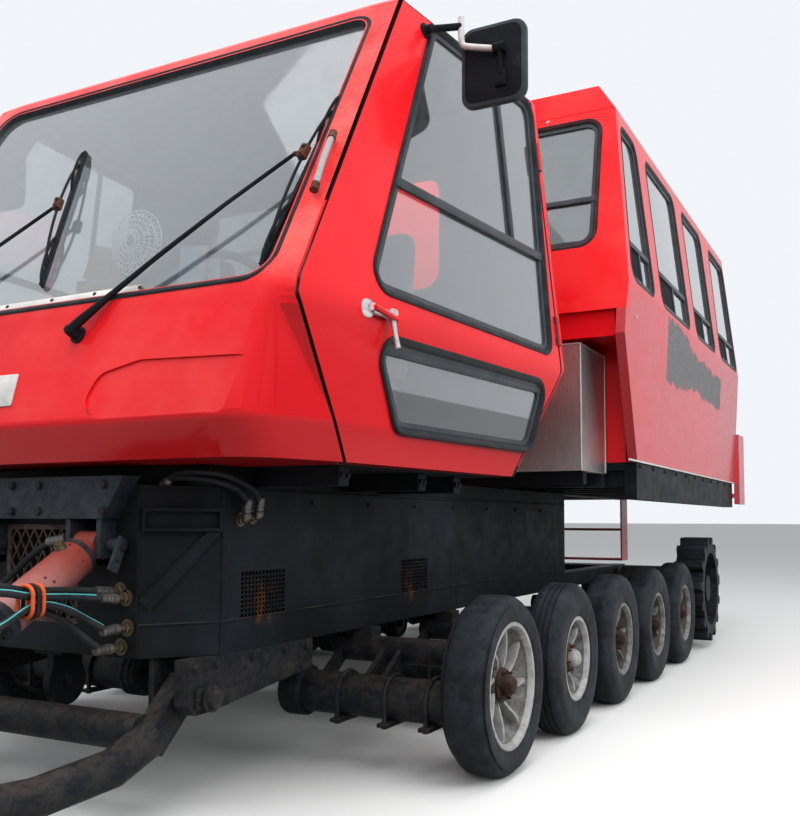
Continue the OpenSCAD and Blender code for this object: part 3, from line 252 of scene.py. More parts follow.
def faded_paint(name, shade_inside):
    """Faded panel, paler and pinker low down for fading and a painted reflection of the sky, with a grey
    rough patch where something was scraped off
    """
    s = Shader(name, (0.6, 0.1, 0.12), 0.35, Coat_Weight=0.16, Coat_Roughness=0.08, Specular_IOR_Level=0.12)
    z, y, x = s.axis("Z"), s.axis("Y"), s.axis("X")
    # Below about 1.93 to 2.02 m the panel turns paler and pinker: fading, and a painted sky reflection on the
    # lower panel
    fade_and_sheen = s.times(s.step(z, 2.02, 1.93), s.step(s.noise(1.1, 5, 0.6), 0.25, 0.75))
    streaks = s.noise(5, 5, 0.6, s.stretched(1, 1.6, 0.25))
    shade = s.mix(s.step(streaks, 0.35, 0.7), (0.60, 0.030, 0.042), (0.52, 0.050, 0.065))
    bleached_and_sheen = s.mix(s.step(s.noise(3.2, 4), 0.35, 0.68), (0.50, 0.060, 0.070), (0.45, 0.095, 0.108))
    shade = s.mix(s.scale(fade_and_sheen, 0.15, 1), s.mix(0.35, shade, (0.70, 0.02, 0.03)), bleached_and_sheen)
    strokes = s.noise(6, 2, 0.5, s.stretched(0, 1, 0))
    centre = s.scale(s.step(y, PATCH_FRONT, PATCH_REAR), PATCH_HIGH, PATCH_LOW)
    tall = s.scale(s.step(y, PATCH_FRONT + 0.35, PATCH_FRONT + 0.75), 0.17, 0.105)
    half = s.math("ADD", tall, s.times(s.math("SUBTRACT", strokes, 0.5), 0.10))
    rough_edge = s.times(s.math("SUBTRACT", s.noise(30, 6, 0.8, s.stretched(1, 1, 0.5)), 0.5), 0.13)
    off_centre = s.math("ABSOLUTE", s.math("SUBTRACT", z, centre))
    away = s.math("SUBTRACT", s.math("ADD", off_centre, rough_edge), half)
    ends = s.times(s.step(y, PATCH_FRONT - 0.01, PATCH_FRONT + 0.01),
                   s.step(y, PATCH_REAR + 0.01, PATCH_REAR - 0.01), s.step(x, 1.0, 1.05))
    patch = s.times(ends, s.step(away, 0.006, -0.004))
    worn = s.mix(s.step(s.noise(60, 4, 0.7), 0.4, 0.65), (0.105, 0.10, 0.105), (0.17, 0.16, 0.165))
    shade = s.mix(patch, shade, worn)
    edge = s.step(z, 1.205, 1.168)
    chips = s.step(s.math("ADD", s.times(edge, 0.26), s.noise(80, 3, 0.7)), 0.80, 0.85)
    shade = s.mix(chips, shade, (0.14, 0.12, 0.12))
    return s.finished(s.shade_inside(shade, *CABIN_MIDDLE) if shade_inside else shade,
                      s.math("ADD", s.scale(s.noise(12, 4), 0.20, 0.40), s.times(patch, 0.35)),
                      (s.noise(1.8, 2), 3.0, 0.4), (s.noise(120, 3), 0.3, 0.4), (patch, 0.4, 0.6))


VENT_STREAKS = ((-2.13, -1.98), (-1.04, -0.96))


def black_paint():
    """Old black chassis paint: dusty, blue where it is rubbed, brown where rust comes through"""
    s = Shader("black_paint", (0.02, 0.02, 0.022), 0.5, Specular_IOR_Level=0.10)
    shade = s.mix(s.step(s.noise(2.6, 6, 0.6), 0.40, 0.70), (0.0055, 0.006, 0.007), (0.012, 0.015, 0.019))
    shade = s.mix(s.scale(s.step(s.noise(8, 7, 0.7), 0.60, 0.82), 0, 0.8), shade, (0.030, 0.028, 0.027))
    rust = s.step(s.noise(14, 8, 0.75), 0.66, 0.76)
    shade = s.mix(s.times(rust, 0.8), shade, (0.085, 0.034, 0.016))
    dust = s.times(s.step(s.facing_up(), 0.3, 0.95), s.step(s.noise(9, 5), 0.3, 0.7))
    shade = s.mix(s.scale(dust, 0, 0.5), shade, (0.10, 0.092, 0.084))
    for y0, y1 in VENT_STREAKS:
        place = s.times(s.step(s.axis("Y"), y0 - 0.02, y0 + 0.03), s.step(s.axis("Y"), y1 + 0.02, y1 - 0.03),
                        s.step(s.axis("Z"), 0.53, 0.58), s.step(s.axis("Z"), 0.71, 0.62))
        stain = s.times(place, s.step(s.noise(26, 6, 0.7, s.stretched(1, 1, 0.4)), 0.44, 0.60))
        shade = s.mix(s.scale(stain, 0, 0.85), shade, (0.115, 0.042, 0.016))
    return s.finished(shade, s.scale(s.noise(11, 5), 0.35, 0.75), (s.noise(45, 6, 0.7), 0.8, 0.6),
                      (rust, 0.5, 0.5))


def steel_material(name, dark, light, rust_share, metallic=0.35, roughness=(0.4, 0.8)):
    """Bare or painted steel with rust, worn bright spots and dust on top"""
    s = Shader(name, dark, 0.6, metallic, Specular_IOR_Level=0.15)
    shade = s.mix(s.step(s.noise(15, 9, 0.78), 0.42, 0.62), dark, light)
    rust = s.step(s.math("ADD", s.noise(19, 10, 0.80), rust_share), 0.585, 0.70)
    tone = s.mix(s.noise(50, 4, 0.7), (0.065, 0.022, 0.011), (0.17, 0.066, 0.032))
    shade = s.mix(rust, shade, tone)
    bright = s.step(s.noise(95, 3, 0.65), 0.70, 0.78)
    shade = s.mix(s.times(bright, 0.5), shade, (0.20, 0.19, 0.18))
    dust = s.times(s.step(s.facing_up(), 0.2, 0.95), s.step(s.noise(26, 8, 0.75), 0.35, 0.65))
    shade = s.mix(s.scale(dust, 0, 0.6), shade, DUST)
    return s.finished(shade, s.scale(s.noise(13, 5), *roughness), (s.noise(60, 7, 0.75), 1.1, 0.7),
                      (rust, 0.6, 0.5))


def tyre_rubber():
    s = Shader("tyre_rubber", (0.03, 0.033, 0.038), 0.7, Specular_IOR_Level=0.15)
    shade = s.mix(s.step(s.noise(5, 6, 0.65), 0.35, 0.7), (0.008, 0.009, 0.011), (0.024, 0.028, 0.034))
    shade = s.mix(s.scale(s.step(s.noise(26, 5, 0.7), 0.5, 0.8), 0, 0.5), shade, (0.055, 0.055, 0.056))
    specks = s.step(s.cells(150), 0.16, 0.10)
    shade = s.mix(s.times(specks, s.step(s.noise(20, 3), 0.5, 0.6), 0.7), shade, (0.13, 0.125, 0.12))
    return s.finished(shade, s.scale(s.noise(18, 4), 0.5, 0.85), (s.noise(55, 7, 0.75), 1.0, 0.6),
                      (s.noise(10, 3), 2.0, 0.3))


def seal_rubber():
    s = Shader("seal_rubber", (0.02, 0.022, 0.025), 0.5, Specular_IOR_Level=0.2)
    shade = s.mix(s.step(s.noise(14, 5, 0.65), 0.35, 0.7), (0.008, 0.009, 0.011), (0.020, 0.024, 0.027))
    return s.finished(shade, s.scale(s.noise(30, 4), 0.38, 0.62), (s.noise(160, 4, 0.7), 0.3, 0.5))


def plain_rough(name, a, b, roughness, grain=90, depth=0.3, metallic=0.0, specular=0.5):
    """Two tones of one colour with a fine grain"""
    s = Shader(name, a, roughness, metallic, Specular_IOR_Level=specular)
    return s.finished(s.mix(s.step(s.noise(8, 5, 0.6), 0.35, 0.7), a, b),
                      s.scale(s.noise(20, 4), max(0.03, roughness - 0.12), min(1, roughness + 0.12)),
                      (s.noise(grain, 5, 0.7), depth, 0.5))


def dirty_alloy(name, grime, light, dark):
    """Cast alloy with brake dust on it where a noise is above grime"""
    s = Shader(name, (0.5, 0.5, 0.5), 0.4, 0.35, Specular_IOR_Level=0.3)
    pale = (light, light * 0.985, light * 0.97)
    dull = (dark, dark * 0.98, dark * 0.96)
    shade = s.mix(s.step(s.noise(18, 6, 0.7), 0.35, 0.65), pale, dull)
    shade = s.mix(s.times(s.step(s.noise(30, 7, 0.75), grime - 0.16, grime + 0.14), 0.85), shade,
                  (0.060, 0.048, 0.040))
    return s.finished(shade, s.scale(s.noise(25, 5), 0.38, 0.68), (s.noise(120, 5, 0.7), 0.4, 0.5))


def brushed_aluminium():
    s = Shader("brushed_aluminium", (0.6, 0.6, 0.59), 0.35, 0.9)
    strokes = s.noise(30, 5, 0.65, s.stretched(9, 9, 0.35))
    shade = s.mix(s.step(strokes, 0.3, 0.7), (0.46, 0.455, 0.45), (0.66, 0.655, 0.65))
    cloud = s.step(s.noise(4, 5, 0.6), 0.35, 0.7)
    shade = s.mix(s.scale(cloud, 0, 0.35), shade, (0.33, 0.32, 0.31))
    return s.finished(shade, s.scale(strokes, 0.28, 0.5), (strokes, 0.15, 0.6), (s.noise(2.6, 2), 2.5, 0.5))


GLASS_SHADE = (0.30, 0.32, 0.33)


def window_glass(name, tint, film, film_color):
    """Clear pane with a streaky dust film; lamps shine through it onto what is behind"""
    s = Shader(name, tint, 0.02, Transmission_Weight=1.0, IOR=1.45, Coat_Weight=1.0, Coat_Roughness=0.02,
               Coat_IOR=2.0)
    dust = s.add("ShaderNodeBsdfDiffuse", {"Color": film_color})
    clouds = s.step(s.noise(1.5, 5, 0.6, s.stretched(1, 1, 0.45)), 0.32, 0.70)
    smears = s.step(s.noise(16, 6, 0.7, s.stretched(1, 1, 0.35)), 0.45, 0.75)
    share = s.math("ADD", s.scale(clouds, film * 0.55, film), s.times(smears, film * 0.22))
    veil = s.add("ShaderNodeMixShader", {0: share, 1: s.surface.outputs[0], 2: dust.outputs[0]})
    clear = s.add("ShaderNodeBsdfTransparent", {"Color": GLASS_SHADE})
    rays = s.add("ShaderNodeLightPath").outputs["Is Shadow Ray"]
    final = s.add("ShaderNodeMixShader", {0: rays, 1: veil.outputs[0], 2: clear.outputs[0]})
    s.put(s.output.inputs["Surface"], final.outputs[0])
    return s.material


def faded_cylinder():
    s = Shader("faded_cylinder_paint", (0.55, 0.2, 0.18), 0.5, Specular_IOR_Level=0.25)
    shade = s.mix(s.step(s.noise(6, 5), 0.3, 0.7), (0.29, 0.115, 0.105), (0.35, 0.170, 0.158))
    upper = s.step(s.math("ADD", s.axis("Z"), s.times(s.noise(9, 4), 0.12)), 0.72, 0.84)
    shade = s.mix(s.scale(upper, 0, 0.9), shade, (0.24, 0.038, 0.026))
    holes = s.step(s.cells(24), 0.15, 0.09)
    specks = s.times(holes, s.step(s.noise(9, 2), 0.40, 0.46))
    shade = s.mix(s.most(specks, s.step(s.noise(75, 4, 0.7), 0.68, 0.73)), shade, (0.03, 0.02, 0.02))
    return s.finished(shade, s.scale(s.noise(20, 4), 0.32, 0.6), (s.noise(70, 4), 0.4, 0.5))


def chrome():
    s = Shader("chrome", (0.75, 0.74, 0.73), 0.14, 0.75)
    shade = s.mix(s.step(s.noise(60, 5, 0.7), 0.55, 0.72), (0.60, 0.595, 0.59), (0.30, 0.285, 0.27))
    return s.finished(shade, s.scale(s.noise(45, 4), 0.16, 0.36))


def seat_cloth():
    s = Shader("seat_cloth", (0.05, 0.05, 0.055), 0.85, Sheen_Weight=0.3)
    weave = s.add("ShaderNodeTexWave", {"Scale": 180.0, "Distortion": 1.5, "Detail": 2.0})
    s.put(weave.inputs["Vector"], s.place)
    s.set("Base Color", s.mix(s.noise(7, 5), (0.040, 0.042, 0.048), (0.085, 0.085, 0.092)))
    s.bump(weave.outputs["Fac"], 0.4, 0.6)
    s.bump(s.noise(12, 4), 3.0, 0.4)
    return s.material


# Dark tone, light tone, share of rust, metallic, and lowest and highest roughness
STEELS = {
    "rusty_steel": ((0.010, 0.012, 0.015), (0.030, 0.028, 0.028), 0.00, 0.15),
    "grille_steel": ((0.045, 0.030, 0.027), (0.11, 0.078, 0.068), 0.02),
    "grey_steel": ((0.018, 0.022, 0.028), (0.034, 0.041, 0.050), -0.10, 0.1, (0.4, 0.65)),
    "grey_casting": ((0.022, 0.022, 0.023), (0.055, 0.052, 0.050), -0.04),
    # Dark grey for the inside of the rims: painted shade in the barrel, behind the spokes and round the hub
    "shaded_rim_well": ((0.030, 0.029, 0.028), (0.085, 0.082, 0.079), 0.0, 0.25),
    "hub_rust": ((0.022, 0.014, 0.011), (0.060, 0.033, 0.022), 0.0, 0.2),
    "rusty_clamp": ((0.050, 0.022, 0.014), (0.13, 0.055, 0.034), 0.04, 0.1)}
# Two tones, roughness, the grain's scale and its depth in millimetres, metallic, specular level
PLAIN_FINISHES = {
    "hose_rubber": ((0.011, 0.012, 0.014), (0.028, 0.030, 0.033), 0.55, 90, 0.3, 0, 0.15),
    "teal_stripe": ((0.05, 0.30, 0.31), (0.09, 0.42, 0.42), 0.45),
    "orange_band": ((0.62, 0.09, 0.015), (0.50, 0.07, 0.02), 0.5),
    "dark_plastic": ((0.020, 0.024, 0.028), (0.036, 0.041, 0.046), 0.5, 220, 0.3, 0, 0.3),
    # Near black, for the radiator core's own colour and for painted shade in the cabin's open windows
    "radiator_black_and_opening_shade": ((0.010, 0.011, 0.012), (0.016, 0.017, 0.018), 0.8, 90, 0.3, 0, 0.1),
    "carton": ((0.34, 0.19, 0.095), (0.27, 0.145, 0.075), 0.8, 60, 0.4),
    "folder_blue": ((0.16, 0.27, 0.38), (0.42, 0.44, 0.46), 0.5),
    "white_tube": ((0.55, 0.54, 0.52), (0.40, 0.385, 0.37), 0.4),
    "brass": ((0.13, 0.100, 0.055), (0.055, 0.043, 0.030), 0.45, 90, 0.3, 0.5),
    "dull_zinc": ((0.15, 0.145, 0.135), (0.060, 0.056, 0.050), 0.45, 90, 0.3, 0.5),
    "window_frame": ((0.026, 0.031, 0.036), (0.044, 0.050, 0.055), 0.45, 60, 0.2, 0, 0.3),
    "mirror_glass": ((0.62, 0.64, 0.66), (0.55, 0.57, 0.59), 0.15, 40, 0.05, 1.0),
    "fan_white": ((0.88, 0.87, 0.85), (0.80, 0.79, 0.76), 0.4),
    "trim_white": ((0.62, 0.61, 0.58), (0.45, 0.44, 0.42), 0.5)}
# Least noise that is grimy, light tone, dark tone
ALLOYS = {
    "pale_alloy": (0.66, 0.44, 0.30),
    # Each dish alloy is a darker copy of its lip's alloy: painted shade in the dish between the spokes
    "shaded_dish_alloy": (0.56, 0.24, 0.13),
    "grimy_shaded_dish": (0.48, 0.10, 0.05),
    "grimy_alloy": (0.54, 0.30, 0.17)}
# Tint, share of film, the film's colour
GLASSES = {
    "tinted_glass": ((0.42, 0.46, 0.48), 0.16, (0.20, 0.215, 0.225)),
    "screen_glass": ((0.66, 0.70, 0.72), 0.16, (0.24, 0.265, 0.285)),
    "door_glass": ((0.84, 0.88, 0.90), 0.10, (0.30, 0.32, 0.33))}


def make_materials():
    made = {
        "red_paint": red_paint(),
        "faded_red_paint": faded_paint("faded_red_paint", True),
        "faded_red_step": faded_paint("faded_red_step", False),
        "black_paint": black_paint(),
        "black_rubber": tyre_rubber(),
        "seal_rubber": seal_rubber(),
        "brushed_alloy": brushed_aluminium(),
        "seat_fabric": seat_cloth(),
        "faded_cylinder_paint": faded_cylinder(),
        "rod_steel": chrome(),
    }
    kinds = ((steel_material, STEELS), (plain_rough, PLAIN_FINISHES), (dirty_alloy, ALLOYS),
             (window_glass, GLASSES))
    for make, table in kinds:
        made.update({name: make(name, *row) for name, row in table.items()})
    return made


MATERIALS = make_materials()
SLOT_OF = {sub["node"]: sub["material_slot"] for sub in frame["record"]["subparts"]}


# Finish of the CAD nodes: a material each, and rounded edges
def paint_node(node, material):
    data = NODES[node].data
    data.materials.clear()
    data.materials.append(MATERIALS[material])


SPECIAL_FINISH = {
    "front_crossbeam": "grey_steel", "front_grille": "grille_steel", "swing_axles": "rusty_steel",
    "rear_step": "faded_red_step", "windshield": "screen_glass", "door_left_glass": "door_glass",
    "door_right_glass": "door_glass"}
EDGE_ROUND_MM = {
    "cab_front_shell": 14, "cab_roof": 10, "cab_rear_wall": 5, "door_left": 9, "door_right": 9,
    "cabin_side_walls": 4, "cabin_front_wall": 4, "cabin_rear_wall": 4, "cabin_roof": 5, "rear_door": 4,
    "rear_step": 3, "push_frame": 3, "lower_rails": 3, "front_crossbeam": 3, "swing_axles": 2.5,
    "rear_frame": 3, "storage_box": 4, "chassis_tub": 3, "cab_deck": 3, "cabin_floor": 2, "final_drives": 4,
    "lift_barrel_left": 3, "lift_barrel_right": 3, "lift_rod_left": 2, "lift_rod_right": 2,
    "sprocket_left": 4, "sprocket_right": 4, "dashboard": 8, "engine_block": 6}


EDGE_SEGMENTS = 3
EDGE_ANGLE = 28
FLAT_ANGLE = 0.6
SMOOTH_ANGLE = 38
WELD_REACH = 0.0001


def round_edges(node, width_mm):
    piece = NODES[node]
    weld = piece.modifiers.new("weld", "WELD")
    weld.merge_threshold = WELD_REACH
    flat = piece.modifiers.new("flat", "DECIMATE")
    flat.decimate_type = "DISSOLVE"
    flat.angle_limit = math.radians(FLAT_ANGLE)
    bevel = piece.modifiers.new("round", "BEVEL")
    bevel.width = width_mm * MM
    bevel.segments = EDGE_SEGMENTS
    bevel.limit_method = "ANGLE"
    bevel.angle_limit = math.radians(EDGE_ANGLE)
    bevel.use_clamp_overlap = True
    bevel.harden_normals = False
    normals = piece.modifiers.new("normals", "WEIGHTED_NORMAL")
    normals.keep_sharp = True
    for face in piece.data.polygons:
        face.use_smooth = True


def finish_nodes():
    for node in NODES:
        paint_node(node, SPECIAL_FINISH.get(node, SLOT_OF[node]))
    for node, width in EDGE_ROUND_MM.items():
        round_edges(node, width)


# Mesh helpers
def make_piece(name, shape, material, body="snowcat", smooth=True):
    """Piece from one shape, or from a list of shapes; a shape is its points and faces"""
    points, faces = joined(shape) if isinstance(shape, list) else shape
    data = bpy.data.meshes.new(name)
    data.from_pydata([tuple(p) for p in points], [], faces)
    mesh = bmesh.new()
    mesh.from_mesh(data)
    bmesh.ops.recalc_face_normals(mesh, faces=mesh.faces)
    mesh.to_mesh(data)
    mesh.free()
    data.materials.append(MATERIALS[material])
    piece = bpy.data.objects.new(name, data)
    bpy.context.scene.collection.objects.link(piece)
    if smooth:
        data.polygons.foreach_set("use_smooth", [True] * len(data.polygons))
        data.set_sharp_from_angle(angle=math.radians(SMOOTH_ANGLE))
    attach(piece, body)
    return piece


def joined(parts):
    """One list of points and faces from several"""
    points, faces = [], []
    for more_points, more_faces in parts:
        start = len(points)
        points.extend(more_points)
        faces.extend([tuple(i + start for i in face) for face in more_faces])
    return points, faces


def rings_to_mesh(rings, closed_path=False):
    """Skin over rings of points, capped at both ends unless the path closes"""
    n, count = len(rings[0]), len(rings)
    points = [p for ring in rings for p in ring]
    faces = []
    for k in range(count if closed_path else count - 1):
        after = (k + 1) % count
        for i in range(n):
            j = (i + 1) % n
            faces.append((k * n + i, k * n + j, after * n + j, after * n + i))
    if not closed_path:
        faces += [tuple(range(n - 1, -1, -1)), tuple(range((count - 1) * n, count * n))]
    return points, faces


def smooth_path(route, steps=6):
    """Catmull-Rom curve through a route's points"""
    out = []
    last = len(route) - 1
    for i in range(last):
        a, b, c, d = route[max(i - 1, 0)], route[i], route[i + 1], route[min(i + 2, last)]
        for k in range(steps):
            t = k / steps
            out.append(0.5 * (2 * b + (c - a) * t + (2 * a - 5 * b + 4 * c - d) * t * t
                              + (3 * b - a - 3 * c + d) * t ** 3))
    out.append(route[last].copy())
    return out


def tube(path, radius, sides=16):
    """Round tube along a path; radius is in metres, one number or one for each point"""
    rings = []
    side = None
    for i, p in enumerate(path):
        along = (path[min(i + 1, len(path) - 1)] - path[max(i - 1, 0)]).normalized()
        if side is None:
            side = along.orthogonal().normalized()
        side = (side - along * side.dot(along)).normalized()
        other = along.cross(side)
        r = radius[i] if hasattr(radius, "__len__") else radius
        rings.append([p + r * (math.cos(a) * side + math.sin(a) * other)
                      for a in (2 * math.pi * k / sides for k in range(sides))])
    return rings_to_mesh(rings)


def lathe(profile, axis_frame, sides=48):
    """Turned shape: profile of (radius, along) in millimetres about the frame's Z axis"""
    rings = []
    for k in range(sides):
        x, y = MM * math.cos(2 * math.pi * k / sides), MM * math.sin(2 * math.pi * k / sides)
        rings.append([axis_frame @ Vector((r * x, r * y, h * MM)) for r, h in profile])
    return rings_to_mesh(rings, closed_path=True)


# Radius at which a turned solid closes, in millimetres
CORE = 0.2


def disc(radius, low, high):
    """Profile of a plain round solid, in millimetres"""
    return [(CORE, low), (radius, low), (radius, high), (CORE, high)]


def axes_frame(origin, x, y, z):
    return Matrix.Translation(origin) @ Matrix((x, y, z)).transposed().to_4x4()


def frame_of(origin, along, up=Vector((0, 0, 1))):
    """Frame whose Z runs along a direction"""
    z = along.normalized()
    x = up.cross(z)
    x = z.orthogonal().normalized() if x.length < 1e-6 else x.normalized()
    return axes_frame(origin, x, z.cross(x), z)


def slab(frame_matrix, low, high, bevel=0.0):
    """Box between two corners in a frame, its edges cut by bevel; everything in metres"""
    mesh = bmesh.new()
    bmesh.ops.create_cube(mesh, size=1)
    size = Vector(high) - Vector(low)
    centre = (Vector(high) + Vector(low)) / 2
    for v in mesh.verts:
        v.co = Vector((v.co.x * size.x, v.co.y * size.y, v.co.z * size.z)) + centre
    if bevel:
        bmesh.ops.bevel(mesh, geom=mesh.edges[:], offset=bevel, segments=2, profile=0.5, affect="EDGES")
    points = [frame_matrix @ v.co for v in mesh.verts]
    faces = [tuple(v.index for v in f.verts) for f in mesh.faces]
    mesh.free()
    return points, faces


def hex_bolt(place, normal, size_mm=10, washer=True):
    """Hexagon bolt head on a washer, standing on a surface"""
    seat = frame_of(place, normal)
    r, wide, thick = size_mm * MM, size_mm * 1.35, size_mm * 0.18
    parts = []
    if washer:
        parts.append(lathe([(0.1, 0), (wide, 0), (wide, thick), (0.1, thick)], seat, 16))
    ring = [(math.cos(math.pi * k / 3) * r, math.sin(math.pi * k / 3) * r) for k in range(6)]
    rings = [[seat @ Vector((x * q, y * q, h)) for x, y in ring]
             for h, q in ((0, 1), (r * 0.75, 1), (r * 0.85, 0.86))]
    parts.append(rings_to_mesh(rings))
    return joined(parts)


# Directions, and the two sides with the sign of their X
FRONT, LEFT, UP = Vector((0, -1, 0)), Vector((1, 0, 0)), Vector((0, 0, 1))
SIDES = (("left", 1), ("right", -1))
PLAIN = Matrix.Identity(4)


def on_side(sign, route):
    """Places of one side, from the left side's places in millimetres"""
    return [at(x * sign, y, z) for x, y, z in route]


# Window panes: outline and plane read from the CAD glass
class Pane:
    def __init__(self, loop, normal):
        self.normal = normal
        up = Vector((0, 0, 1))
        self.up = (up - normal * up.dot(normal)).normalized()
        self.across = self.up.cross(normal).normalized()
        self.origin = sum(loop, Vector()) / len(loop)
        self.outline = [self.flat(p) for p in loop]

    def flat(self, p):
        d = p - self.origin
        return (d.dot(self.across), d.dot(self.up))

    def point(self, a, b, height=0.0):
        return self.origin + self.across * a + self.up * b + self.normal * height

    def crossings(self, value, axis):
        """Where the outline crosses a line: axis 1 for a level line, 0 for an upright one"""
        found = []
        for p, q in zip(self.outline, self.outline[1:] + self.outline[:1]):
            if (p[axis] - value) * (q[axis] - value) < 0:
                t = (value - p[axis]) / (q[axis] - p[axis])
                found.append(p[1 - axis] + t * (q[1 - axis] - p[1 - axis]))
        return min(found), max(found)

    def range(self, axis):
        values = [p[axis] for p in self.outline]
        return min(values), max(values)


def panes_of(node, inner_point):
    """Outer faces of a glass node's panes"""
    mesh = bmesh.new()
    mesh.from_mesh(NODES[node].data)
    bmesh.ops.remove_doubles(mesh, verts=mesh.verts[:], dist=WELD_REACH)
    seen = set()
    panes = []
    for seed in mesh.faces:
        if seed in seen:
            continue
        seen.add(seed)
        stack, part = [seed], []
        while stack:
            face = stack.pop()
            part.append(face)
            for other in (f for edge in face.edges for f in edge.link_faces):
                if other not in seen:
                    seen.add(other)
                    stack.append(other)
        centre = sum((f.calc_center_median() * f.calc_area() for f in part), Vector())
        centre /= sum(f.calc_area() for f in part)
        normal = max(part, key=lambda f: f.calc_area()).normal.copy()
        if normal.dot(centre - inner_point) < 0:
            normal.negate()
        chosen = [f for f in part if f.normal.dot(normal) > 0.9995]
        edges = {}
        for f in chosen:
            for loop in f.loops:
                if not any(o in chosen for o in loop.edge.link_faces if o is not f):
                    edges[loop.vert] = loop.link_loop_next.vert
        start = next(iter(edges))
        loop, v = [start], edges[start]
        while v is not start:
            loop.append(v)
            v = edges[v]
        panes.append(Pane([v.co.copy() for v in loop], normal))
    mesh.free()
    return sorted(panes, key=lambda p: (round(p.origin.x, 2), round(p.origin.y, 2), round(p.origin.z, 2)))


def offset_outline(outline, distance):
    """Anticlockwise outline moved outwards"""
    out = []
    n = len(outline)
    for i in range(n):
        p, q, r = Vector(outline[i - 1]), Vector(outline[i]), Vector(outline[(i + 1) % n])
        a, b = (q - p).normalized(), (r - q).normalized()
        na, nb = Vector((a.y, -a.x)), Vector((b.y, -b.x))
        m = (na + nb) / max(0.35, 1 + na.dot(nb))
        out.append(q + m * distance)
    return out


def seal_ring(pane, profile):
    """Band round a pane; profile is (outwards, above the glass) in millimetres"""
    columns = [[pane.point(*p, h * MM) for p in offset_outline(pane.outline, d * MM)] for d, h in profile]
    rings = [[column[i] for column in columns] for i in range(len(pane.outline))]
    return rings_to_mesh(rings, closed_path=True)


def clipped(outline, axis, value, side):
    """Part of an outline on one side of a line: below the value for side -1, above it for 1"""
    out = []
    for p, q in zip(outline, outline[1:] + outline[:1]):
        inside_p, inside_q = (p[axis] - value) * side >= 0, (q[axis] - value) * side >= 0
        if inside_p:
            out.append(p)
        if inside_p != inside_q:
            t = (value - p[axis]) / (q[axis] - p[axis])
            out.append((p[0] + t * (q[0] - p[0]), p[1] + t * (q[1] - p[1])))
    return out


def plate_on(pane, outline, low, high):
    return rings_to_mesh([[pane.point(*p, h) for p in outline] for h in (low, high)])


def bar_on(pane, start, end, width, low, high):
    """Flat bar on a pane between two places, with rounded edges; low and high are above the glass"""
    p, q = pane.point(*start), pane.point(*end)
    along = (q - p).normalized()
    side = pane.normal.cross(along)
    turn = axes_frame(p, along, side, pane.normal)
    return slab(turn, (0, -width / 2, low), ((q - p).length, width / 2, high), min(width, high - low) * 0.18)


WINDSHIELD_SEAL = [(-8, 0.5), (-7, 6), (-2, 12), (5, 20), (13, 23), (19, 22), (22, 18), (22, 11), (-4, -4)]
DOOR_SEAL = [(-11, 0.5), (-10, 9), (-6, 13), (0, 20), (7, 23), (12, 22), (15, 18), (15, 10), (-4, -4)]
CABIN_SEAL = [(-13, 0.5), (-12, 8), (-7, 12), (1, 18), (8, 20.5), (13, 19.5), (16, 16), (16, 10), (-2, -3)]
FRAME_STRIP = [(-27, 0.2), (-27, 7), (-11, 8), (-9, 0.2)]
WHITE_BEAD = [(-11.5, 0.3), (-11, 3), (-8.5, 3), (-7.5, 0.3)]


def window_trim():
    cab_inside = at(0, 0, 1700)
    cabin_inside = at(0, 2900, 1900)
    screen = panes_of("windshield", cab_inside)[0]
    make_piece("windshield_seal", seal_ring(screen, WINDSHIELD_SEAL), "seal_rubber")
    make_piece("windshield_bead", seal_ring(screen, WHITE_BEAD), "window_frame")
    low_edge = screen.range(1)[0]
    level = low_edge + 0.026
    mid = screen.flat(at(0, 0, 0))[0]
    start, end = sorted(mid + (a - mid) * 0.50 for a in screen.crossings(low_edge + 0.05, 1))
    strip = bar_on(screen, (start, level), (end, level), 0.024, 0.0004, 0.006)
    make_piece("windshield_strip", strip, "trim_white")
    screws = [hex_bolt(screen.point(mid + side * share, level, 0.0055), screen.normal, 5)
              for side in (-1, 1) for share in (0.1, 0.28, 0.46)]
    make_piece("windshield_strip_screws", screws, "rusty_clamp")
    for side, body in (("left", "left_door"), ("right", "right_door")):
        lower, upper = sorted(panes_of(f"door_{side}_glass", cab_inside), key=lambda p: p.origin.z)
        make_piece(f"door_{side}_seals", [seal_ring(pane, DOOR_SEAL) for pane in (upper, lower)],
                   "seal_rubber", body)
        frames = [seal_ring(pane, FRAME_STRIP) for pane in (upper, lower)] + door_bars(upper, lower)
        make_piece(f"door_{side}_frames", frames, "window_frame", body)
    seals, frames, dark = [], [], []
    for pane in panes_of("cabin_glass", cabin_inside):
        seals.append(seal_ring(pane, CABIN_SEAL))
        frames.append(seal_ring(pane, [(d - 1, h) for d, h in FRAME_STRIP]))
        b0, b1 = pane.range(1)
        facing_side = abs(pane.normal.x) > 0.7
        level = b0 + (b1 - b0) * (0.23 if facing_side else 0.36)
        a0, a1 = pane.crossings(level, 1)
        frames.append(bar_on(pane, (a0, level), (a1, level), 0.028, 0.0002, 0.012))
        if facing_side:
            middle_a = (a0 + a1) / 2
            ahead = -1 if pane.across.y > 0 else 1
            inner = [tuple(p) for p in offset_outline(pane.outline, -0.006)]
            inner = clipped(inner, 1, level - 0.012, -1)
            # Painted shade of an open sliding window: a dark plate over half of the pane's lower part
            dark.append(plate_on(pane, clipped(inner, 0, middle_a + ahead * 0.010, ahead), 0.0004, 0.0022))
            low, high = b0 + 0.02, level
            frames.append(bar_on(pane, (middle_a, low), (middle_a, high), 0.022, 0.0002, 0.010))
    make_piece("cabin_window_seals", seals, "seal_rubber")
    make_piece("cabin_window_frames", frames, "window_frame")
    make_piece("cabin_vent_shade", dark, "radiator_black_and_opening_shade", smooth=False)
    rear = panes_of("rear_door_glass", cabin_inside)[0]
    make_piece("rear_door_seal", seal_ring(rear, [(d, h * 0.8) for d, h in CABIN_SEAL]), "seal_rubber",
               "cabin_door")


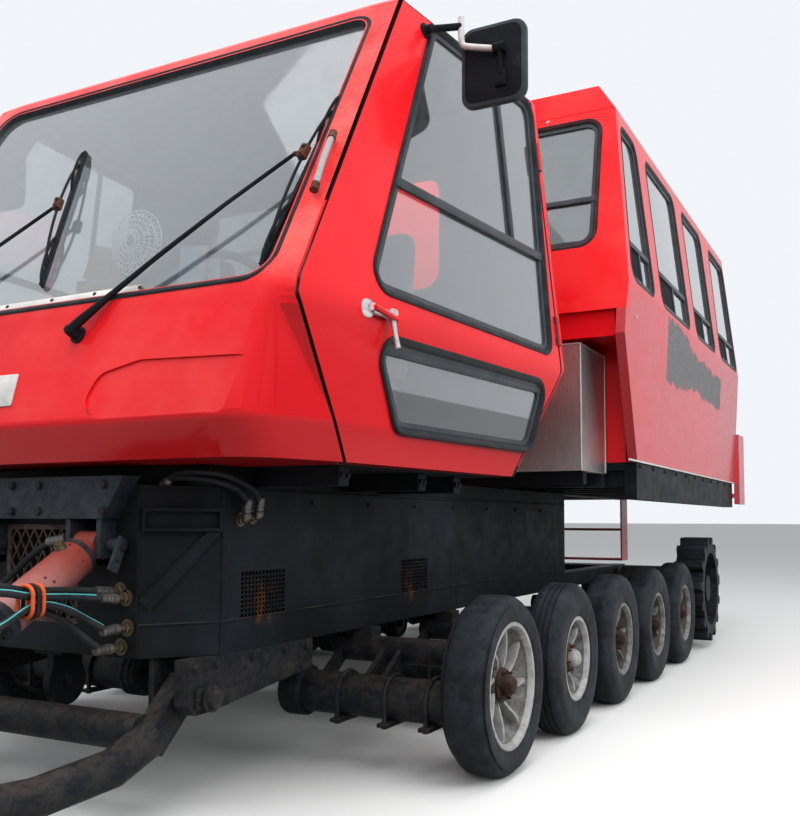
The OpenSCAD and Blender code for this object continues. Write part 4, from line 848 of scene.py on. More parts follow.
def door_bars(upper, lower):
    """Level divider, and the upright edges of the sliding panes"""
    b0, b1 = upper.range(1)
    level = b0 + (b1 - b0) * 0.375
    a0, a1 = upper.crossings(level, 1)
    bars = [bar_on(upper, (a0, level), (a1, level), 0.034, 0.0002, 0.014)]
    # the pane's across axis runs forwards on one side of the cab and backwards on the other
    rear_a, front_a = (a1, a0) if upper.across.y > 0 else (a0, a1)
    post = rear_a + (front_a - rear_a) * 0.24
    top = upper.crossings(post, 0)[1]
    bars.append(bar_on(upper, (post, level), (post, top), 0.026, 0.0002, 0.013))
    c0, c1 = lower.range(1)
    high = c0 + (c1 - c0) * 0.86
    d0, d1 = lower.crossings(high, 1)
    bars.append(bar_on(lower, (d0, high), (d1, high), 0.020, 0.0002, 0.011))
    return bars


# Road wheels, in millimetres; a profile holds (radius, outwards from the wheel's middle)
HALF_TRACK = 1140
TYRE_R = (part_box("wheel_left_2")[1].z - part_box("wheel_left_2")[0].z) / 2 / MM
TYRE_HALF = 80
FRONT_RIM_R = 219
RIM_R = 173
BEAD_HALF = 60
FLANGE_T = 9
LIP_OUT = BEAD_HALF + FLANGE_T
SPOKE_OUT = 50
HUB_SUNK = 24
HUB_R = 66
DISH_SHARE = 0.6
STUD_CIRCLE_R = 48.5
GREASE_CAP = [
    (CORE, 30), (37, 30), (37, 56), (35.5, 60), (33, 60), (31, 67), (25, 74), (15, 78), (CORE, 79)]


def wheel_frame(node):
    """Wheel's middle, its Z pointing outwards"""
    low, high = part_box(node)
    side = 1 if low.x > 0 else -1
    centre = Vector((side * HALF_TRACK * MM, (low.y + high.y) / 2, (low.z + high.z) / 2))
    return frame_of(centre, LEFT * side)


def tyre_shape(rim_r, ribbed):
    """Tyre section, from the inner bead round the tread to the outer bead"""
    mid = (rim_r + TYRE_R) / 2
    half = [(rim_r - 6, BEAD_HALF - 4), (rim_r + 1, LIP_OUT), (rim_r + 6, BEAD_HALF + 13),
            (rim_r + 16, TYRE_HALF - 6), (mid - 12, TYRE_HALF - 1.5), (mid, TYRE_HALF),
            (mid + 16, TYRE_HALF - 1)]
    for down, narrower in ((34, 6), (31, 9), (20, 13), (10, 21), (3, 32), (0.8, 46)):
        half.append((TYRE_R - down, TYRE_HALF - narrower))
    tread = [(TYRE_R, 20), (TYRE_R, -20)]
    if ribbed:
        half.pop()
        tread = [(TYRE_R - down, x + along) for x in (36, 12, -12, -36)
                 for down, along in ((0.5, 4), (7, 2.8), (7, -2.8), (0.5, -4))]
    return [*half, *tread, *[(r, -h) for r, h in reversed(half)]]


def spoke(turn, inner, outer, angle, curve, width_in, width_out):
    """Cast spoke that flares at both ends and bows outwards in its middle"""
    rings = []
    steps = 7
    for k in range(steps + 1):
        t = k / steps
        r = (inner + (outer - inner) * t) * MM
        flare = (2 * t - 1) ** 2
        w = (width_in * (1 - t) + width_out * t) * (0.55 + 0.45 * flare) * MM
        a = angle + curve * math.sin(math.pi * t * 0.5)
        top = SPOKE_OUT - 6 - HUB_SUNK * (1 - t) ** 1.4 - 6 * t + 6 * math.sin(math.pi * t)
        low = -10 + 30 * t ** 3
        radial, side = Vector((math.cos(a), math.sin(a), 0)), Vector((-math.sin(a), math.cos(a), 0))
        half = [(1, low), (1, top - 6), (0.72, top - 1), (0.3, top)]
        section = [*half, *[(-x, z) for x, z in reversed(half)]]
        rings.append([turn @ (radial * r + side * (x * w) + Vector((0, 0, z * MM))) for x, z in section])
    return rings_to_mesh(rings)


def rim_parts(turn, rim_r, spokes, curve):
    """Well, dish, and the lip with its spokes"""
    seat = rim_r - 10
    dish_r = rim_r * DISH_SHARE
    mid = (seat + dish_r) / 2
    lip = [(seat - 4, BEAD_HALF - 10), (rim_r - 2, BEAD_HALF), (rim_r, BEAD_HALF + 3), (rim_r, LIP_OUT - 2),
           (rim_r - 3, LIP_OUT), (seat - 4, LIP_OUT - 1), (seat - 9, BEAD_HALF + 1),
           (seat - 13, BEAD_HALF - 12)]
    dish = [(seat - 10, BEAD_HALF - 10), (seat - 14, 38), (seat - 24, 20), (mid, 4), (dish_r, -4),
            (dish_r, -10), (mid, -3), (seat - 22, 11), (seat - 6, 30)]
    well = [(seat - 6, -BEAD_HALF), (seat, -BEAD_HALF + 4), (seat, BEAD_HALF - 4), (seat - 5, BEAD_HALF - 9),
            (seat - 8, 30), (seat - 10, 4), (seat - 12, -10), (seat - 12, -BEAD_HALF + 6)]
    web = [(dish_r + 2, -5), (dish_r + 2, -11), (HUB_R - 4, -16), (HUB_R - 4, -8)]
    back = [(rim_r - 10, -BEAD_HALF), (rim_r, -BEAD_HALF - 3), (rim_r, 1 - LIP_OUT), (rim_r - 3, -LIP_OUT),
            (seat - 11, 2 - LIP_OUT), (seat - 11, 4 - BEAD_HALF)]
    hub = [(34, 30), (34, 26), (56, 25), (HUB_R, 20), (HUB_R + 6, 10), (HUB_R + 4, -4), (HUB_R - 4, -64),
           (34, -65), (31, -60), (31, 28)]
    # Barrel, back flange, hub and web take a dark steel: painted shade inside the rim and round the hub
    inner = [lathe(profile, turn, sides) for profile, sides in ((well, 72), (back, 72), (hub, 48), (web, 48))]
    outer = [lathe(lip, turn, 72)]
    for k in range(spokes):
        outer.append(spoke(turn, HUB_R - 12, seat - 10, 2 * math.pi * k / spokes, curve, 9.5, 13))
    return inner, lathe(dish, turn, 72), outer


def hub_parts(turn, bolts):
    """Flange with studs and nuts"""
    parts = [lathe([(30, 22), (60, 22), (60, 31), (56, 34), (40, 35), (38, 37), (30, 37)], turn, 40)]
    out = turn.to_3x3() @ UP
    for k in range(bolts):
        a = 2 * math.pi * (k + 0.5) / bolts
        place = turn @ Vector((math.cos(a) * STUD_CIRCLE_R * MM, math.sin(a) * STUD_CIRCLE_R * MM, 34 * MM))
        parts.append(hex_bolt(place, out, 8))
        parts.append(lathe([(CORE, 20), (4.2, 19), (4.2, 0), (CORE, 0)], frame_of(place, out), 10))
    return parts


def wheels():
    """Front wheels have a larger rim, the second ones a ribbed tyre, and the rear three are grimier"""
    for side, _ in SIDES:
        for k in range(1, 6):
            node, body = f"wheel_{side}_{k}", f"{side}_wheel_{k}"
            turn = wheel_frame(node) @ Matrix.Rotation(0.37 * k, 4, "Z")
            rim_r, spokes, curve = (FRONT_RIM_R, 8, 0.35) if k == 1 else (RIM_R, 6, 0.12)
            # The dish takes a darker alloy than the lip, as painted shade between the spokes
            rim, dish = ("pale_alloy", "shaded_dish_alloy") if k < 3 else ("grimy_alloy", "grimy_shaded_dish")
            hub, cap = ("rusty_clamp", "pale_alloy") if k == 2 else ("hub_rust", "hub_rust")
            tyre_mesh = lathe(tyre_shape(rim_r, k == 2), turn, 96)
            tyre = make_piece(f"tyre_{side}_{k}", tyre_mesh, "black_rubber", body)
            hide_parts(node)
            well, dish_mesh, lip = rim_parts(turn, rim_r, spokes, curve)
            make_piece(f"rim_{side}_{k}", lip, rim, body)
            make_piece(f"rim_dish_{side}_{k}", dish_mesh, dish, body)
            make_piece(f"shaded_rim_well_{side}_{k}", well, "shaded_rim_well", body)
            make_piece(f"hub_{side}_{k}", hub_parts(turn, 6), hub, body)
            make_piece(f"hub_cap_{side}_{k}", lathe(GREASE_CAP, turn, 36), cap, body)


# Places on surfaces
def bolts_on(node, places, towards, size, mirrored=False):
    """Bolt heads where lines from the places, in millimetres, meet a node's surface"""
    mesh = NODES[node].data
    tree = BVHTree.FromPolygons([v.co for v in mesh.vertices], [tuple(p.vertices) for p in mesh.polygons])
    parts = []
    for sign in (1, -1) if mirrored else (1,):
        heading = Vector((towards.x * sign, towards.y, towards.z))
        for x, y, z in places:
            hit, normal, _, _ = tree.ray_cast(at(x * sign, y, z), heading)
            if hit is not None:
                parts.append(hex_bolt(hit, normal if normal.dot(heading) < 0 else -normal, size))
    return parts


def rounded_outline(half_a, half_b, radius, steps=6):
    points = []
    for ca, cb, start in ((1, 1, 0), (-1, 1, 90), (-1, -1, 180), (1, -1, 270)):
        for k in range(steps + 1):
            turn = math.radians(start + 90 * k / steps)
            points.append((ca * (half_a - radius) + radius * math.cos(turn),
                           cb * (half_b - radius) + radius * math.sin(turn)))
    return points


def rounded_slab(turn, half_a, half_b, depth, radius, edge=0.004):
    """Plate with round corners and soft edges, standing on its frame's XY plane; metres"""
    rings = []
    for inset, height in ((edge, 0), (edge * 0.3, edge * 0.3), (0, edge), (0, depth - edge),
                          (edge * 0.3, depth - edge * 0.3), (edge, depth)):
        outline = rounded_outline(half_a - inset, half_b - inset, max(radius - inset, 0.001))
        rings.append([turn @ Vector((a, b, height)) for a, b in outline])
    return rings_to_mesh(rings)


# Wipers
WAIST_Z = 1479
NOSE_LOW_Y = -1190
NOSE_LOW_Z = 1155
NOSE_SLOPE = 84 / (WAIST_Z - NOSE_LOW_Z)
NOSE_OUT = Vector((0, -1, NOSE_SLOPE)).normalized()
WIPER_PIVOT_Z = 1424
WIPER_CLAMP_Z = 1926
WIPER_POST = [(CORE, 0), (27, 0), (27, 6), (20, 10), (16, 40), (12, 47), (CORE, 48)]
# Pivot's X, clamp's X, and the blade's upper and lower ends as X and Z
WIPERS = ((-726, -100, (-214, 2231), (14, 1615)), (279, 867, (905, 2201), (895, 1562)))

PILLAR_STRAP = ((968, 1988, 38), (978, 1890, 42), (988, 1792, 38))


def nose_point(x, z):
    return at(x, NOSE_LOW_Y + (z - NOSE_LOW_Z) * NOSE_SLOPE, z)


def over_pane(pane, x, z, height):
    """Place above a pane, seen from the front at x and z; height in millimetres"""
    p = at(x, 0, z)
    gap = p - pane.origin
    p.y = pane.origin.y - (pane.normal.x * gap.x + pane.normal.z * gap.z) / pane.normal.y
    return p + pane.normal * height * MM


def wipers():
    pane = panes_of("windshield", at(0, 0, 1700))[0]
    arms, rubbers, clamps = [], [], []
    for pivot_x, clamp_x, top, low in WIPERS:
        base = nose_point(pivot_x, WIPER_PIVOT_Z)
        arms.append(lathe(WIPER_POST, frame_of(base, NOSE_OUT), 24))
        start, end = base + NOSE_OUT * 0.036, over_pane(pane, clamp_x, WIPER_CLAMP_Z, 50)
        path = [start.lerp(end, t) + NOSE_OUT * 0.014 * math.sin(math.pi * t)
                for t in (0, 0.05, 0.12, 0.2, 0.4, 0.7, 1)]
        arms.append(tube(path, (0.014, 0.0145, 0.012, 0.009, 0.0075, 0.0065, 0.006), 12))
        first, last = over_pane(pane, *top, 2), over_pane(pane, *low, 2)
        along = (last - first).normalized()
        turn = axes_frame(first, along, pane.normal.cross(along), pane.normal)
        length = (last - first).length
        rubbers.append(slab(turn, (0, -0.0035, -0.001), (length, 0.0035, 0.013)))
        arms.append(slab(turn, (0.004, -0.007, 0.012), (length - 0.004, 0.007, 0.016), 0.001))
        for a, b, rise in ((0.12, 0.88, 0.030), (0.02, 0.32, 0.014), (0.68, 0.98, 0.014)):
            bow = [turn @ Vector((length * (a + (b - a) * t), 0, 0.016 + rise * math.sin(math.pi * t) ** 0.6))
                   for t in (k / 10 for k in range(11))]
            arms.append(tube(bow, 0.0048, 8))
        share = (top[1] - WIPER_CLAMP_Z) / (top[1] - low[1])
        centre = turn @ Vector((length * share, 0, 0.047))
        clamp = frame_of(centre, pane.normal, along)
        clamps.append(slab(clamp, (-0.013, -0.026, -0.010), (0.013, 0.026, 0.012), 0.002))
        if (end - centre).length > 0.012:
            clamps.append(tube([centre, centre.lerp(end, 0.5), end], 0.008, 10))
        clamps += [hex_bolt(clamp @ Vector((0, y, 0.012)), pane.normal, 7) for y in (-0.015, 0.015)]
    arm = make_piece("wiper_arms", arms, "black_paint")
    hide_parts("wipers")
    make_piece("wiper_rubbers", rubbers, "seal_rubber")
    make_piece("wiper_clamps", clamps, "rusty_clamp")
    strap = [over_pane(pane, *place) for place in PILLAR_STRAP]
    make_piece("pillar_strap", tube(strap, 0.010, 12), "brushed_alloy")
    caps = [lathe(disc(13, -12, 16), frame_of(p, strap[2] - strap[0]), 16) for p in (strap[0], strap[2])]
    make_piece("pillar_strap_caps", caps, "rusty_clamp")


# Doors: handles and mirrors
HANDLE_ARM = ((1069, -800, 1491), (1069, -784, 1491), (1081, -684, 1490), (1082, -672, 1490))
HANDLE_LEVER = ((1094, -684, 1504), (1096, -684, 1490), (1100, -684, 1462), (1105, -683, 1432),
                (1110, -681, 1405), (1113, -680, 1388))
LEVER_THICK = (0.0105, 0.0115, 0.0085, 0.0075, 0.0080, 0.0092)
MIRROR_TUBE = ((1112, -218, 2622), (1112, -218, 2562), (1118, -218, 2523), (1150, -216, 2508),
               (1250, -212, 2480))
MIRROR_MIDDLE = (1218, -160, 2446)
MIRROR_HALF = (0.120, 0.1435)
MIRROR_DEPTH = 0.032


HANDLE_FOOT = (1066, -784, 1491)
HANDLE_ROSE = [(CORE, 16), (12, 15), (20, 14), (27, 9), (30, 2), (30, -4), (CORE, -4)]
HANDLE_BOSS = [(CORE, 30), (9, 29), (12.5, 24), (12.5, 10), (CORE, 10)]
HANDLE_KNUCKLE = [(CORE, 32), (9, 31), (12.5, 26), (12.5, 4), (CORE, 4)]
MIRROR_FOOT = (998, -277, 2573)
MIRROR_SOCKET = [(CORE, 34), (14, 34), (16, 12), (26, 8), (28, 0.5), (CORE, 0.5)]
MIRROR_ARM = ((1014, -279, 2575), (1060, -246, 2584), (1112, -218, 2590))
MIRROR_DROP = ((1250, -212, 2486), (1250, -205, 2440), (1250, -196, 2385))


def handles():
    for side, sign in SIDES:
        arm, lever = on_side(sign, HANDLE_ARM), on_side(sign, HANDLE_LEVER)
        seat = frame_of(on_side(sign, [HANDLE_FOOT])[0], Vector((0.987 * sign, -0.108, 0.117)))
        knuckle = frame_of(arm[2], Vector((sign, 0, 0.1)))
        parts = [lathe(HANDLE_ROSE, seat, 32), lathe(HANDLE_BOSS, seat, 24), tube(arm, 0.0135, 18),
                 lathe(HANDLE_KNUCKLE, knuckle, 20), tube(lever, LEVER_THICK, 14)]
        make_piece(f"door_handle_{side}", parts, "rod_steel", f"{side}_door")


# Name, material, height, inset and corner radius in metres
MIRROR_PLATES = (("back", "black_paint", MIRROR_DEPTH - 0.001, 0.016, 0.034),
                 ("glass", "mirror_glass", -0.0015, 0.008, 0.038))


def mirrors():
    for side, sign in SIDES:
        body = f"{side}_door"
        middle_point = on_side(sign, [MIRROR_MIDDLE])[0]
        face = Matrix.Translation(middle_point) @ Matrix.Rotation(math.pi / 2, 4, "X")
        housing = rounded_slab(face, *MIRROR_HALF, MIRROR_DEPTH, 0.046, 0.010)
        piece = make_piece(f"mirror_housing_{side}", housing, "dark_plastic", body)
        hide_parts(f"mirror_{side}")
        for part, material, height, inset, radius in MIRROR_PLATES:
            plate = rounded_slab(face @ Matrix.Translation((0, 0, height)), MIRROR_HALF[0] - inset,
                                 MIRROR_HALF[1] - inset, 0.003, radius, 0.001)
            make_piece(f"mirror_{part}_{side}", plate, material, body)
        route = smooth_path(on_side(sign, MIRROR_TUBE), 6)
        make_piece(f"mirror_tube_{side}", tube(route, 0.011, 16), "white_tube", body)
        foot = frame_of(on_side(sign, [MIRROR_FOOT])[0], Vector((0.987 * sign, -0.109, 0.118)))
        arm, drop = on_side(sign, MIRROR_ARM), on_side(sign, MIRROR_DROP)
        bracket = [lathe(MIRROR_SOCKET, foot, 24), tube(arm, 0.0125, 14), tube(drop, 0.010, 12),
                   lathe(disc(18, -20, 20), frame_of(drop[0], LEFT), 16),
                   slab(frame_of(drop[2], FRONT), (-0.020, -0.028, -0.008), (0.020, 0.028, 0.010), 0.003)]
        bracket += [hex_bolt(drop[2] + Vector((0, -0.010, dz)), FRONT, 6) for dz in (-0.016, 0.016)]
        make_piece(f"mirror_bracket_{side}", bracket, "black_paint", body)


# Hydraulic hoses on the tub's front, as in the solid model: x, y, z
TUB_FRONT_Y = -985
HOSE_Y = TUB_FRONT_Y - 46
HOSE_R = 0.010
OUTER_LOOP = (
    (336, HOSE_Y, 668), (336, -1110, 676), (335, -1220, 684), (335, -1330, 690), (335, -1430, 708),
    (335, -1510, 712), (336, -1574, 676), (336, -1590, 620), (337, -1550, 580), (338, -1460, 588),
    (339, -1330, 636), (340, -1230, 612), (342, -1130, 546), (343, -1070, 506), (344, HOSE_Y, 502))
INNER_LOOP = (
    (360, HOSE_Y, 648), (360, -1110, 656), (360, -1220, 666), (360, -1330, 674), (360, -1420, 690),
    (360, -1480, 690), (360, -1530, 660), (361, -1540, 620), (362, -1500, 592), (363, -1430, 606),
    (364, -1330, 650), (365, -1230, 636), (366, -1130, 590), (367, -1070, 562), (368, HOSE_Y, 560))
GRILLE_HOSE = (
    (150, -1034, 822), (110, -1046, 812), (60, -1056, 786), (0, -1060, 742), (-60, -1058, 700),
    (-130, -1050, 668), (-210, -1040, 652), (-290, -1036, 648), (-340, -1036, 650))
SIDE_HOSES = (
    ((596, -716, 890), (604, -726, 930), (608, -765, 968), (604, -820, 986), (585, -872, 1000),
     (540, -895, 1006), (470, -905, 1008), (430, -905, 990), (420, -905, 940)),
    ((596, -652, 898), (606, -664, 934), (614, -704, 972), (614, -780, 1000), (604, -850, 1018),
     (570, -895, 1024), (500, -908, 1024), (450, -908, 1005), (440, -908, 950)))
CLAMP_Y = (-1346, -1328, -1310)


def ferrule(path, back=False):
    """Crimped sleeve and hexagon nut on a hose's end"""
    points = path[::-1] if back else path
    profile = [(CORE, -4), (15.5, -4), (15.5, 12), (12.5, 13)]
    for crimp in (0, 13, 26):
        profile += [(14.6, 16 + crimp), (14.6, 25 + crimp), (13.8, 26.5 + crimp)]
    profile += [(12, 58), (CORE, 58)]
    return lathe(profile, frame_of(points[0], (points[2] - points[0]).normalized()), 18)


def hoses():
    rubber, metal, brass = [], [], []
    for route in (OUTER_LOOP, INNER_LOOP, GRILLE_HOSE, *SIDE_HOSES):
        path = smooth_path([at(*p) for p in route], 6)
        rubber.append(tube(path, HOSE_R, 16))
        metal += [ferrule(path), ferrule(path, True)]
    for x, _, z in (OUTER_LOOP[0], OUTER_LOOP[-1], INNER_LOOP[0], INNER_LOOP[-1]):
        brass.append(tube([at(x, TUB_FRONT_Y, z), at(x, HOSE_Y + 10, z)], 0.013, 6))
        brass.append(hex_bolt(at(x, TUB_FRONT_Y, z), FRONT, 19))
    for route in SIDE_HOSES:
        x, y, z = route[0]
        elbow = [at(570, y, z - 8), at(588, y, z - 8), at(596, y, z - 4), at(x, y - 2, z + 8)]
        brass.append(tube(smooth_path(elbow, 4), 0.012, 12))
        brass.append(hex_bolt(elbow[0], LEFT, 17))
    stripe = smooth_path([at(*p) + Vector((0.0035, 0, 0.0078)) for p in INNER_LOOP], 6)
    piece = make_piece("hose_lines", rubber, "hose_rubber")
    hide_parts("hydraulic_hoses")
    make_piece("hose_ferrules", metal, "dull_zinc")
    make_piece("hose_ports", brass, "brass")
    make_piece("hose_stripe", tube(stripe[6:-8], 0.0032, 8), "teal_stripe")
    bands = []
    for y in CLAMP_Y:
        ring = [at(349.5, y, 662) + Vector((a, 0, b)) for a, b in rounded_outline(0.029, 0.043, 0.026, 8)]
        bands.append(tube([*ring, *ring[:3]], 0.0058, 12))
    make_piece("hose_clamps", [bands[0], bands[2]], "orange_band")
    make_piece("hose_clamp_middle", bands[1], "hose_rubber")


# Lift cylinders: end rings, ports and eye washers
LIFT_TOP = (240, -1006, 804)
LIFT_LOW = (240, -1540, 480)
BARREL_END = 380
GLAND = [(r, BARREL_END + h) for r, h in (
    (30, -10), (60.5, -10), (62.5, -6), (62.5, 14), (58, 18), (36, 19), (34, 26), (30, 26))]
COLLAR = [(50, 58), (61, 60), (61, 74), (50, 76)]
PORT = [(CORE, 0), (18, 0), (16, 16), (CORE, 16)]
EYE_HALF = 40


def eye_rings(middle_point, bore, radius):
    """Washers on both sides of an eye, all in millimetres but the middle"""
    profile = [(bore, -3), (radius, -3), (radius + 0.5, 0), (radius, 3), (bore, 3)]
    return [lathe(profile, frame_of(middle_point + LEFT * dx * MM, LEFT), 32) for dx in (-EYE_HALF, EYE_HALF)]


def cylinder_details():
    for side, sign in SIDES:
        top, low = on_side(sign, (LIFT_TOP, LIFT_LOW))
        seat = frame_of(top, low - top)
        body = f"{side}_cylinder"
        rings = [lathe(GLAND, seat, 40), lathe(COLLAR, seat, 40)]
        for k in range(6):
            a = math.radians(60 * k + 30)
            place = seat @ Vector((0.048 * math.cos(a), 0.048 * math.sin(a), (BARREL_END + 18) * MM))
            rings.append(hex_bolt(place, (low - top).normalized(), 6))
        make_piece(f"cylinder_gland_{side}", rings, "grey_steel", body)
        up = seat.to_3x3() @ Vector((0, 1, 0))
        up = up if up.z > 0 else -up
        ports = []
        for along in (0.11, 0.33):
            foot = seat @ Vector((0, 0, along)) + up * 0.054
            ports += [lathe(PORT, frame_of(foot, up), 16), hex_bolt(foot + up * 0.014, up, 13, False)]
        make_piece(f"cylinder_ports_{side}", ports, "brass", body)
        make_piece(f"cylinder_eye_rings_{side}", eye_rings(top, 19.5, 43), "faded_cylinder_paint", body)
        make_piece(f"rod_eye_rings_{side}", eye_rings(low, 24.5, 41), "rusty_steel", f"{side}_rod")


# Tub, rails, axles and drives, in millimetres
TUB_SIDE_X = 570.5
TUB_FRONT = -985.5
TUB_LOW_Z, TUB_HIGH_Z = 474, 978
WELDS = (
    ((404, TUB_FRONT, 566), (TUB_SIDE_X, -799, 570), (TUB_SIDE_X, 700, 578), (TUB_SIDE_X, 2540, 582)),
    ((TUB_SIDE_X, -790, 976), (TUB_SIDE_X, 2540, 976)),
    ((404.5, TUB_FRONT, TUB_LOW_Z), (404.5, TUB_FRONT, TUB_HIGH_Z)),
    ((TUB_SIDE_X, -800, TUB_LOW_Z), (TUB_SIDE_X, -800, TUB_HIGH_Z)))
VENT_OUT, VENT_IN = 568, 563
VENTS_Y = (-702, 382)
VENT_W, VENT_Z, VENT_H = 240, 574, 142
VENT_BAR_HALF = 2.2
RADIATOR_X = 348
FIN_PITCH = 10
LIFT_PIN = (-872, 354)
WHEEL_PITCH = 745
AXLE_LEAD, AXLE_Z, UPPER_TRAIL, UPPER_Z = 103, 248, 110, 385
AXLE_DISC_X = 356
SPRING_DISC = [
    (74, -4), (88, -3), (92.5, 4), (93, 18), (88, 24), (93, 30), (93, 52), (88, 58), (93, 64), (92.5, 80),
    (88, 86), (74, 87)]
SPROCKET_Y, SPROCKET_Z, SPROCKET_BOLT_R = 3830, 407, 150
# Node, where the rays towards the middle start, and the bolts' size
SIDE_BOLTS = (
    ("front_crossbeam", [(600, -1028, 764), (600, -1012, 796)], 9),
    ("lower_rails", [(800, y, 445) for y in (-920, -820, -640, -460, -330)], 12),
    ("cabin_floor", [(1500, y, 1146) for y in range(1520, 4360, 280)], 9),
    ("cab_deck", [(1100, y, 1018) for y in (-645, -610, -105, -75, 195, 225)], 9),
    ("rear_frame", [(800, SPROCKET_Y + dy, z) for dy in (-80, 80) for z in (340, 440, 520)], 13),
    ("chassis_tub", [(800, y, 940) for y in range(-700, 2500, 400)], 9))


def weld(path, thick, seed):
    """Bead along a path; thick is its radius and how far that varies, in metres"""
    rnd = random.Random(seed)
    return tube(path, [thick[0] + rnd.uniform(-thick[1], thick[1]) for _ in path], 8)


def vent_grid(sign, y):
    """Crossed bars in an opening of the tub's side"""
    outer, inner = sorted((sign * VENT_OUT, sign * VENT_IN))
    bars = []
    for k in range(1, 10):
        z = VENT_Z + VENT_H * k / 10
        bars.append(slab(PLAIN, at(outer, y - 1, z - VENT_BAR_HALF),
                         at(inner, y + VENT_W + 1, z + VENT_BAR_HALF)))
    for k in range(1, 13):
        x = y + VENT_W * k / 13
        bars.append(slab(PLAIN, at(outer, x - VENT_BAR_HALF, VENT_Z - 1),
                         at(inner, x + VENT_BAR_HALF, VENT_Z + VENT_H + 1)))
    return bars


def tub_details():
    bars, beads = [], []
    for _, sign in SIDES:
        for y in VENTS_Y:
            bars += vent_grid(sign, y)
        for route in WELDS:
            corners = on_side(sign, route)
            path = []
            for p, q in zip(corners, corners[1:]):
                count = max(2, int((q - p).length / 0.03))
                path += [p.lerp(q, k / count) for k in range(count)]
            path.append(corners[-1])
            beads.append(weld(path, (0.0042, 0.0008), len(path)))
    core = [slab(PLAIN, at(-352, -948, 540), at(352, -940, 915))]
    for x in range(-RADIATOR_X, RADIATOR_X, FIN_PITCH):
        core.append(slab(PLAIN, at(x, -956, 545), at(x + 3, -946, 910)))
    make_piece("radiator_core", core, "radiator_black_and_opening_shade", smooth=False)
    make_piece("vent_grids", bars, "black_paint", smooth=False)
    make_piece("weld_beads", beads, "black_paint")
    beam = [(x, -1300, z) for x in (-330, -60, 60, 330) for z in (905, 985)]
    heads = bolts_on("front_crossbeam", beam, -FRONT, 12)
    for node, places, size in SIDE_BOLTS:
        heads += bolts_on(node, places, -LEFT, size, True)
    make_piece("frame_bolts", heads, "rusty_steel")


def pivot_details():
    """Nuts and flat keepers on the push frame's pins"""
    y, z = LIFT_PIN
    parts = []
    for _, sign in SIDES:
        out = LEFT * sign
        parts.append(hex_bolt(at(596 * sign, y, z), out, 30))
        keeper = frame_of(at(571 * sign, y, z), out)
        parts.append(slab(keeper, (-0.046, -0.030, 0), (0.046, 0.030, 0.010), 0.002))
        parts += [hex_bolt(at(581 * sign, y + dy, z), out, 8) for dy in (-38, 38)]
    make_piece("pivot_nuts", parts, "grey_casting")


def axle_clamp(place):
    """Hoop over an axle tube, with its two legs, nuts and plate below"""
    hoop = [place + Vector((0, math.cos(a), math.sin(a))) * 0.083
            for a in (math.pi * (k / 10) for k in range(-1, 12))]
    parts = [tube(hoop, 0.009, 10)]
    for dy in (-0.0805, 0.0805):
        foot = place + Vector((0, dy, 0))
        parts += [tube([foot, foot - UP * 0.085], 0.009, 10), hex_bolt(foot - UP * 0.083, -UP, 11, False)]
    plate = Matrix.Translation(place - UP * 0.079)
    return [*parts, slab(plate, (-0.022, -0.098, -0.008), (0.022, 0.098, 0.006), 0.002)]


def axle_details():
    rubber, steel = [], []
    for _, sign in SIDES:
        out = LEFT * sign
        for k in range(5):
            y = k * WHEEL_PITCH
            seat = frame_of(at(AXLE_DISC_X * sign, y - AXLE_LEAD, AXLE_Z), out)
            rubber.append(lathe(SPRING_DISC, seat, 40))
            steel.append(hex_bolt(seat.translation - out * 0.0005, -out, 26))
            for x in (608, 800, 960):
                steel += axle_clamp(at(x * sign, y - AXLE_LEAD, AXLE_Z))
            steel += [hex_bolt(at(x * sign, y + UPPER_TRAIL, UPPER_Z), out, 16) for x in (690, 740)]
    make_piece("axle_spring_discs", rubber, "black_rubber")
    make_piece("axle_clamps", steel, "rusty_steel")


def drive_details():
    for side, sign in SIDES:
        ring = []
        for a in (math.radians(45 * k) for k in range(8)):
            y, z = SPROCKET_Y + SPROCKET_BOLT_R * math.cos(a), SPROCKET_Z + SPROCKET_BOLT_R * math.sin(a)
            ring.append((1400 * sign, y, z))
        heads = bolts_on(f"sprocket_{side}", ring, -LEFT * sign, 9)
        make_piece(f"sprocket_bolts_{side}", heads, "rusty_steel", f"{side}_sprocket")


# Aluminium box behind the cab, in millimetres
BOX_LOW, BOX_HIGH = (640, 1043, 1112), (1140, 1440, 1690)


def box_details():
    """Weld beads along the boxes' edges"""
    welds = []
    for _, sign in SIDES:
        xs, ys, zs = zip(BOX_LOW, BOX_HIGH)
        xs = [x * sign for x in xs]
        edges = [((x, y, zs[0]), (x, y, zs[1])) for x in xs for y in ys]
        edges += [((xs[0], y, z), (xs[1], y, z)) for y in ys for z in zs]
        edges += [((x, ys[0], z), (x, ys[1], z)) for x in xs for z in zs]
        for a, b in edges:
            path = [at(*a).lerp(at(*b), k / 24) for k in range(25)]
            welds.append(weld(path, (0.0046, 0.0007), int(abs(a[0]) + a[1] + a[2])))
    make_piece("box_welds", welds, "brushed_alloy")


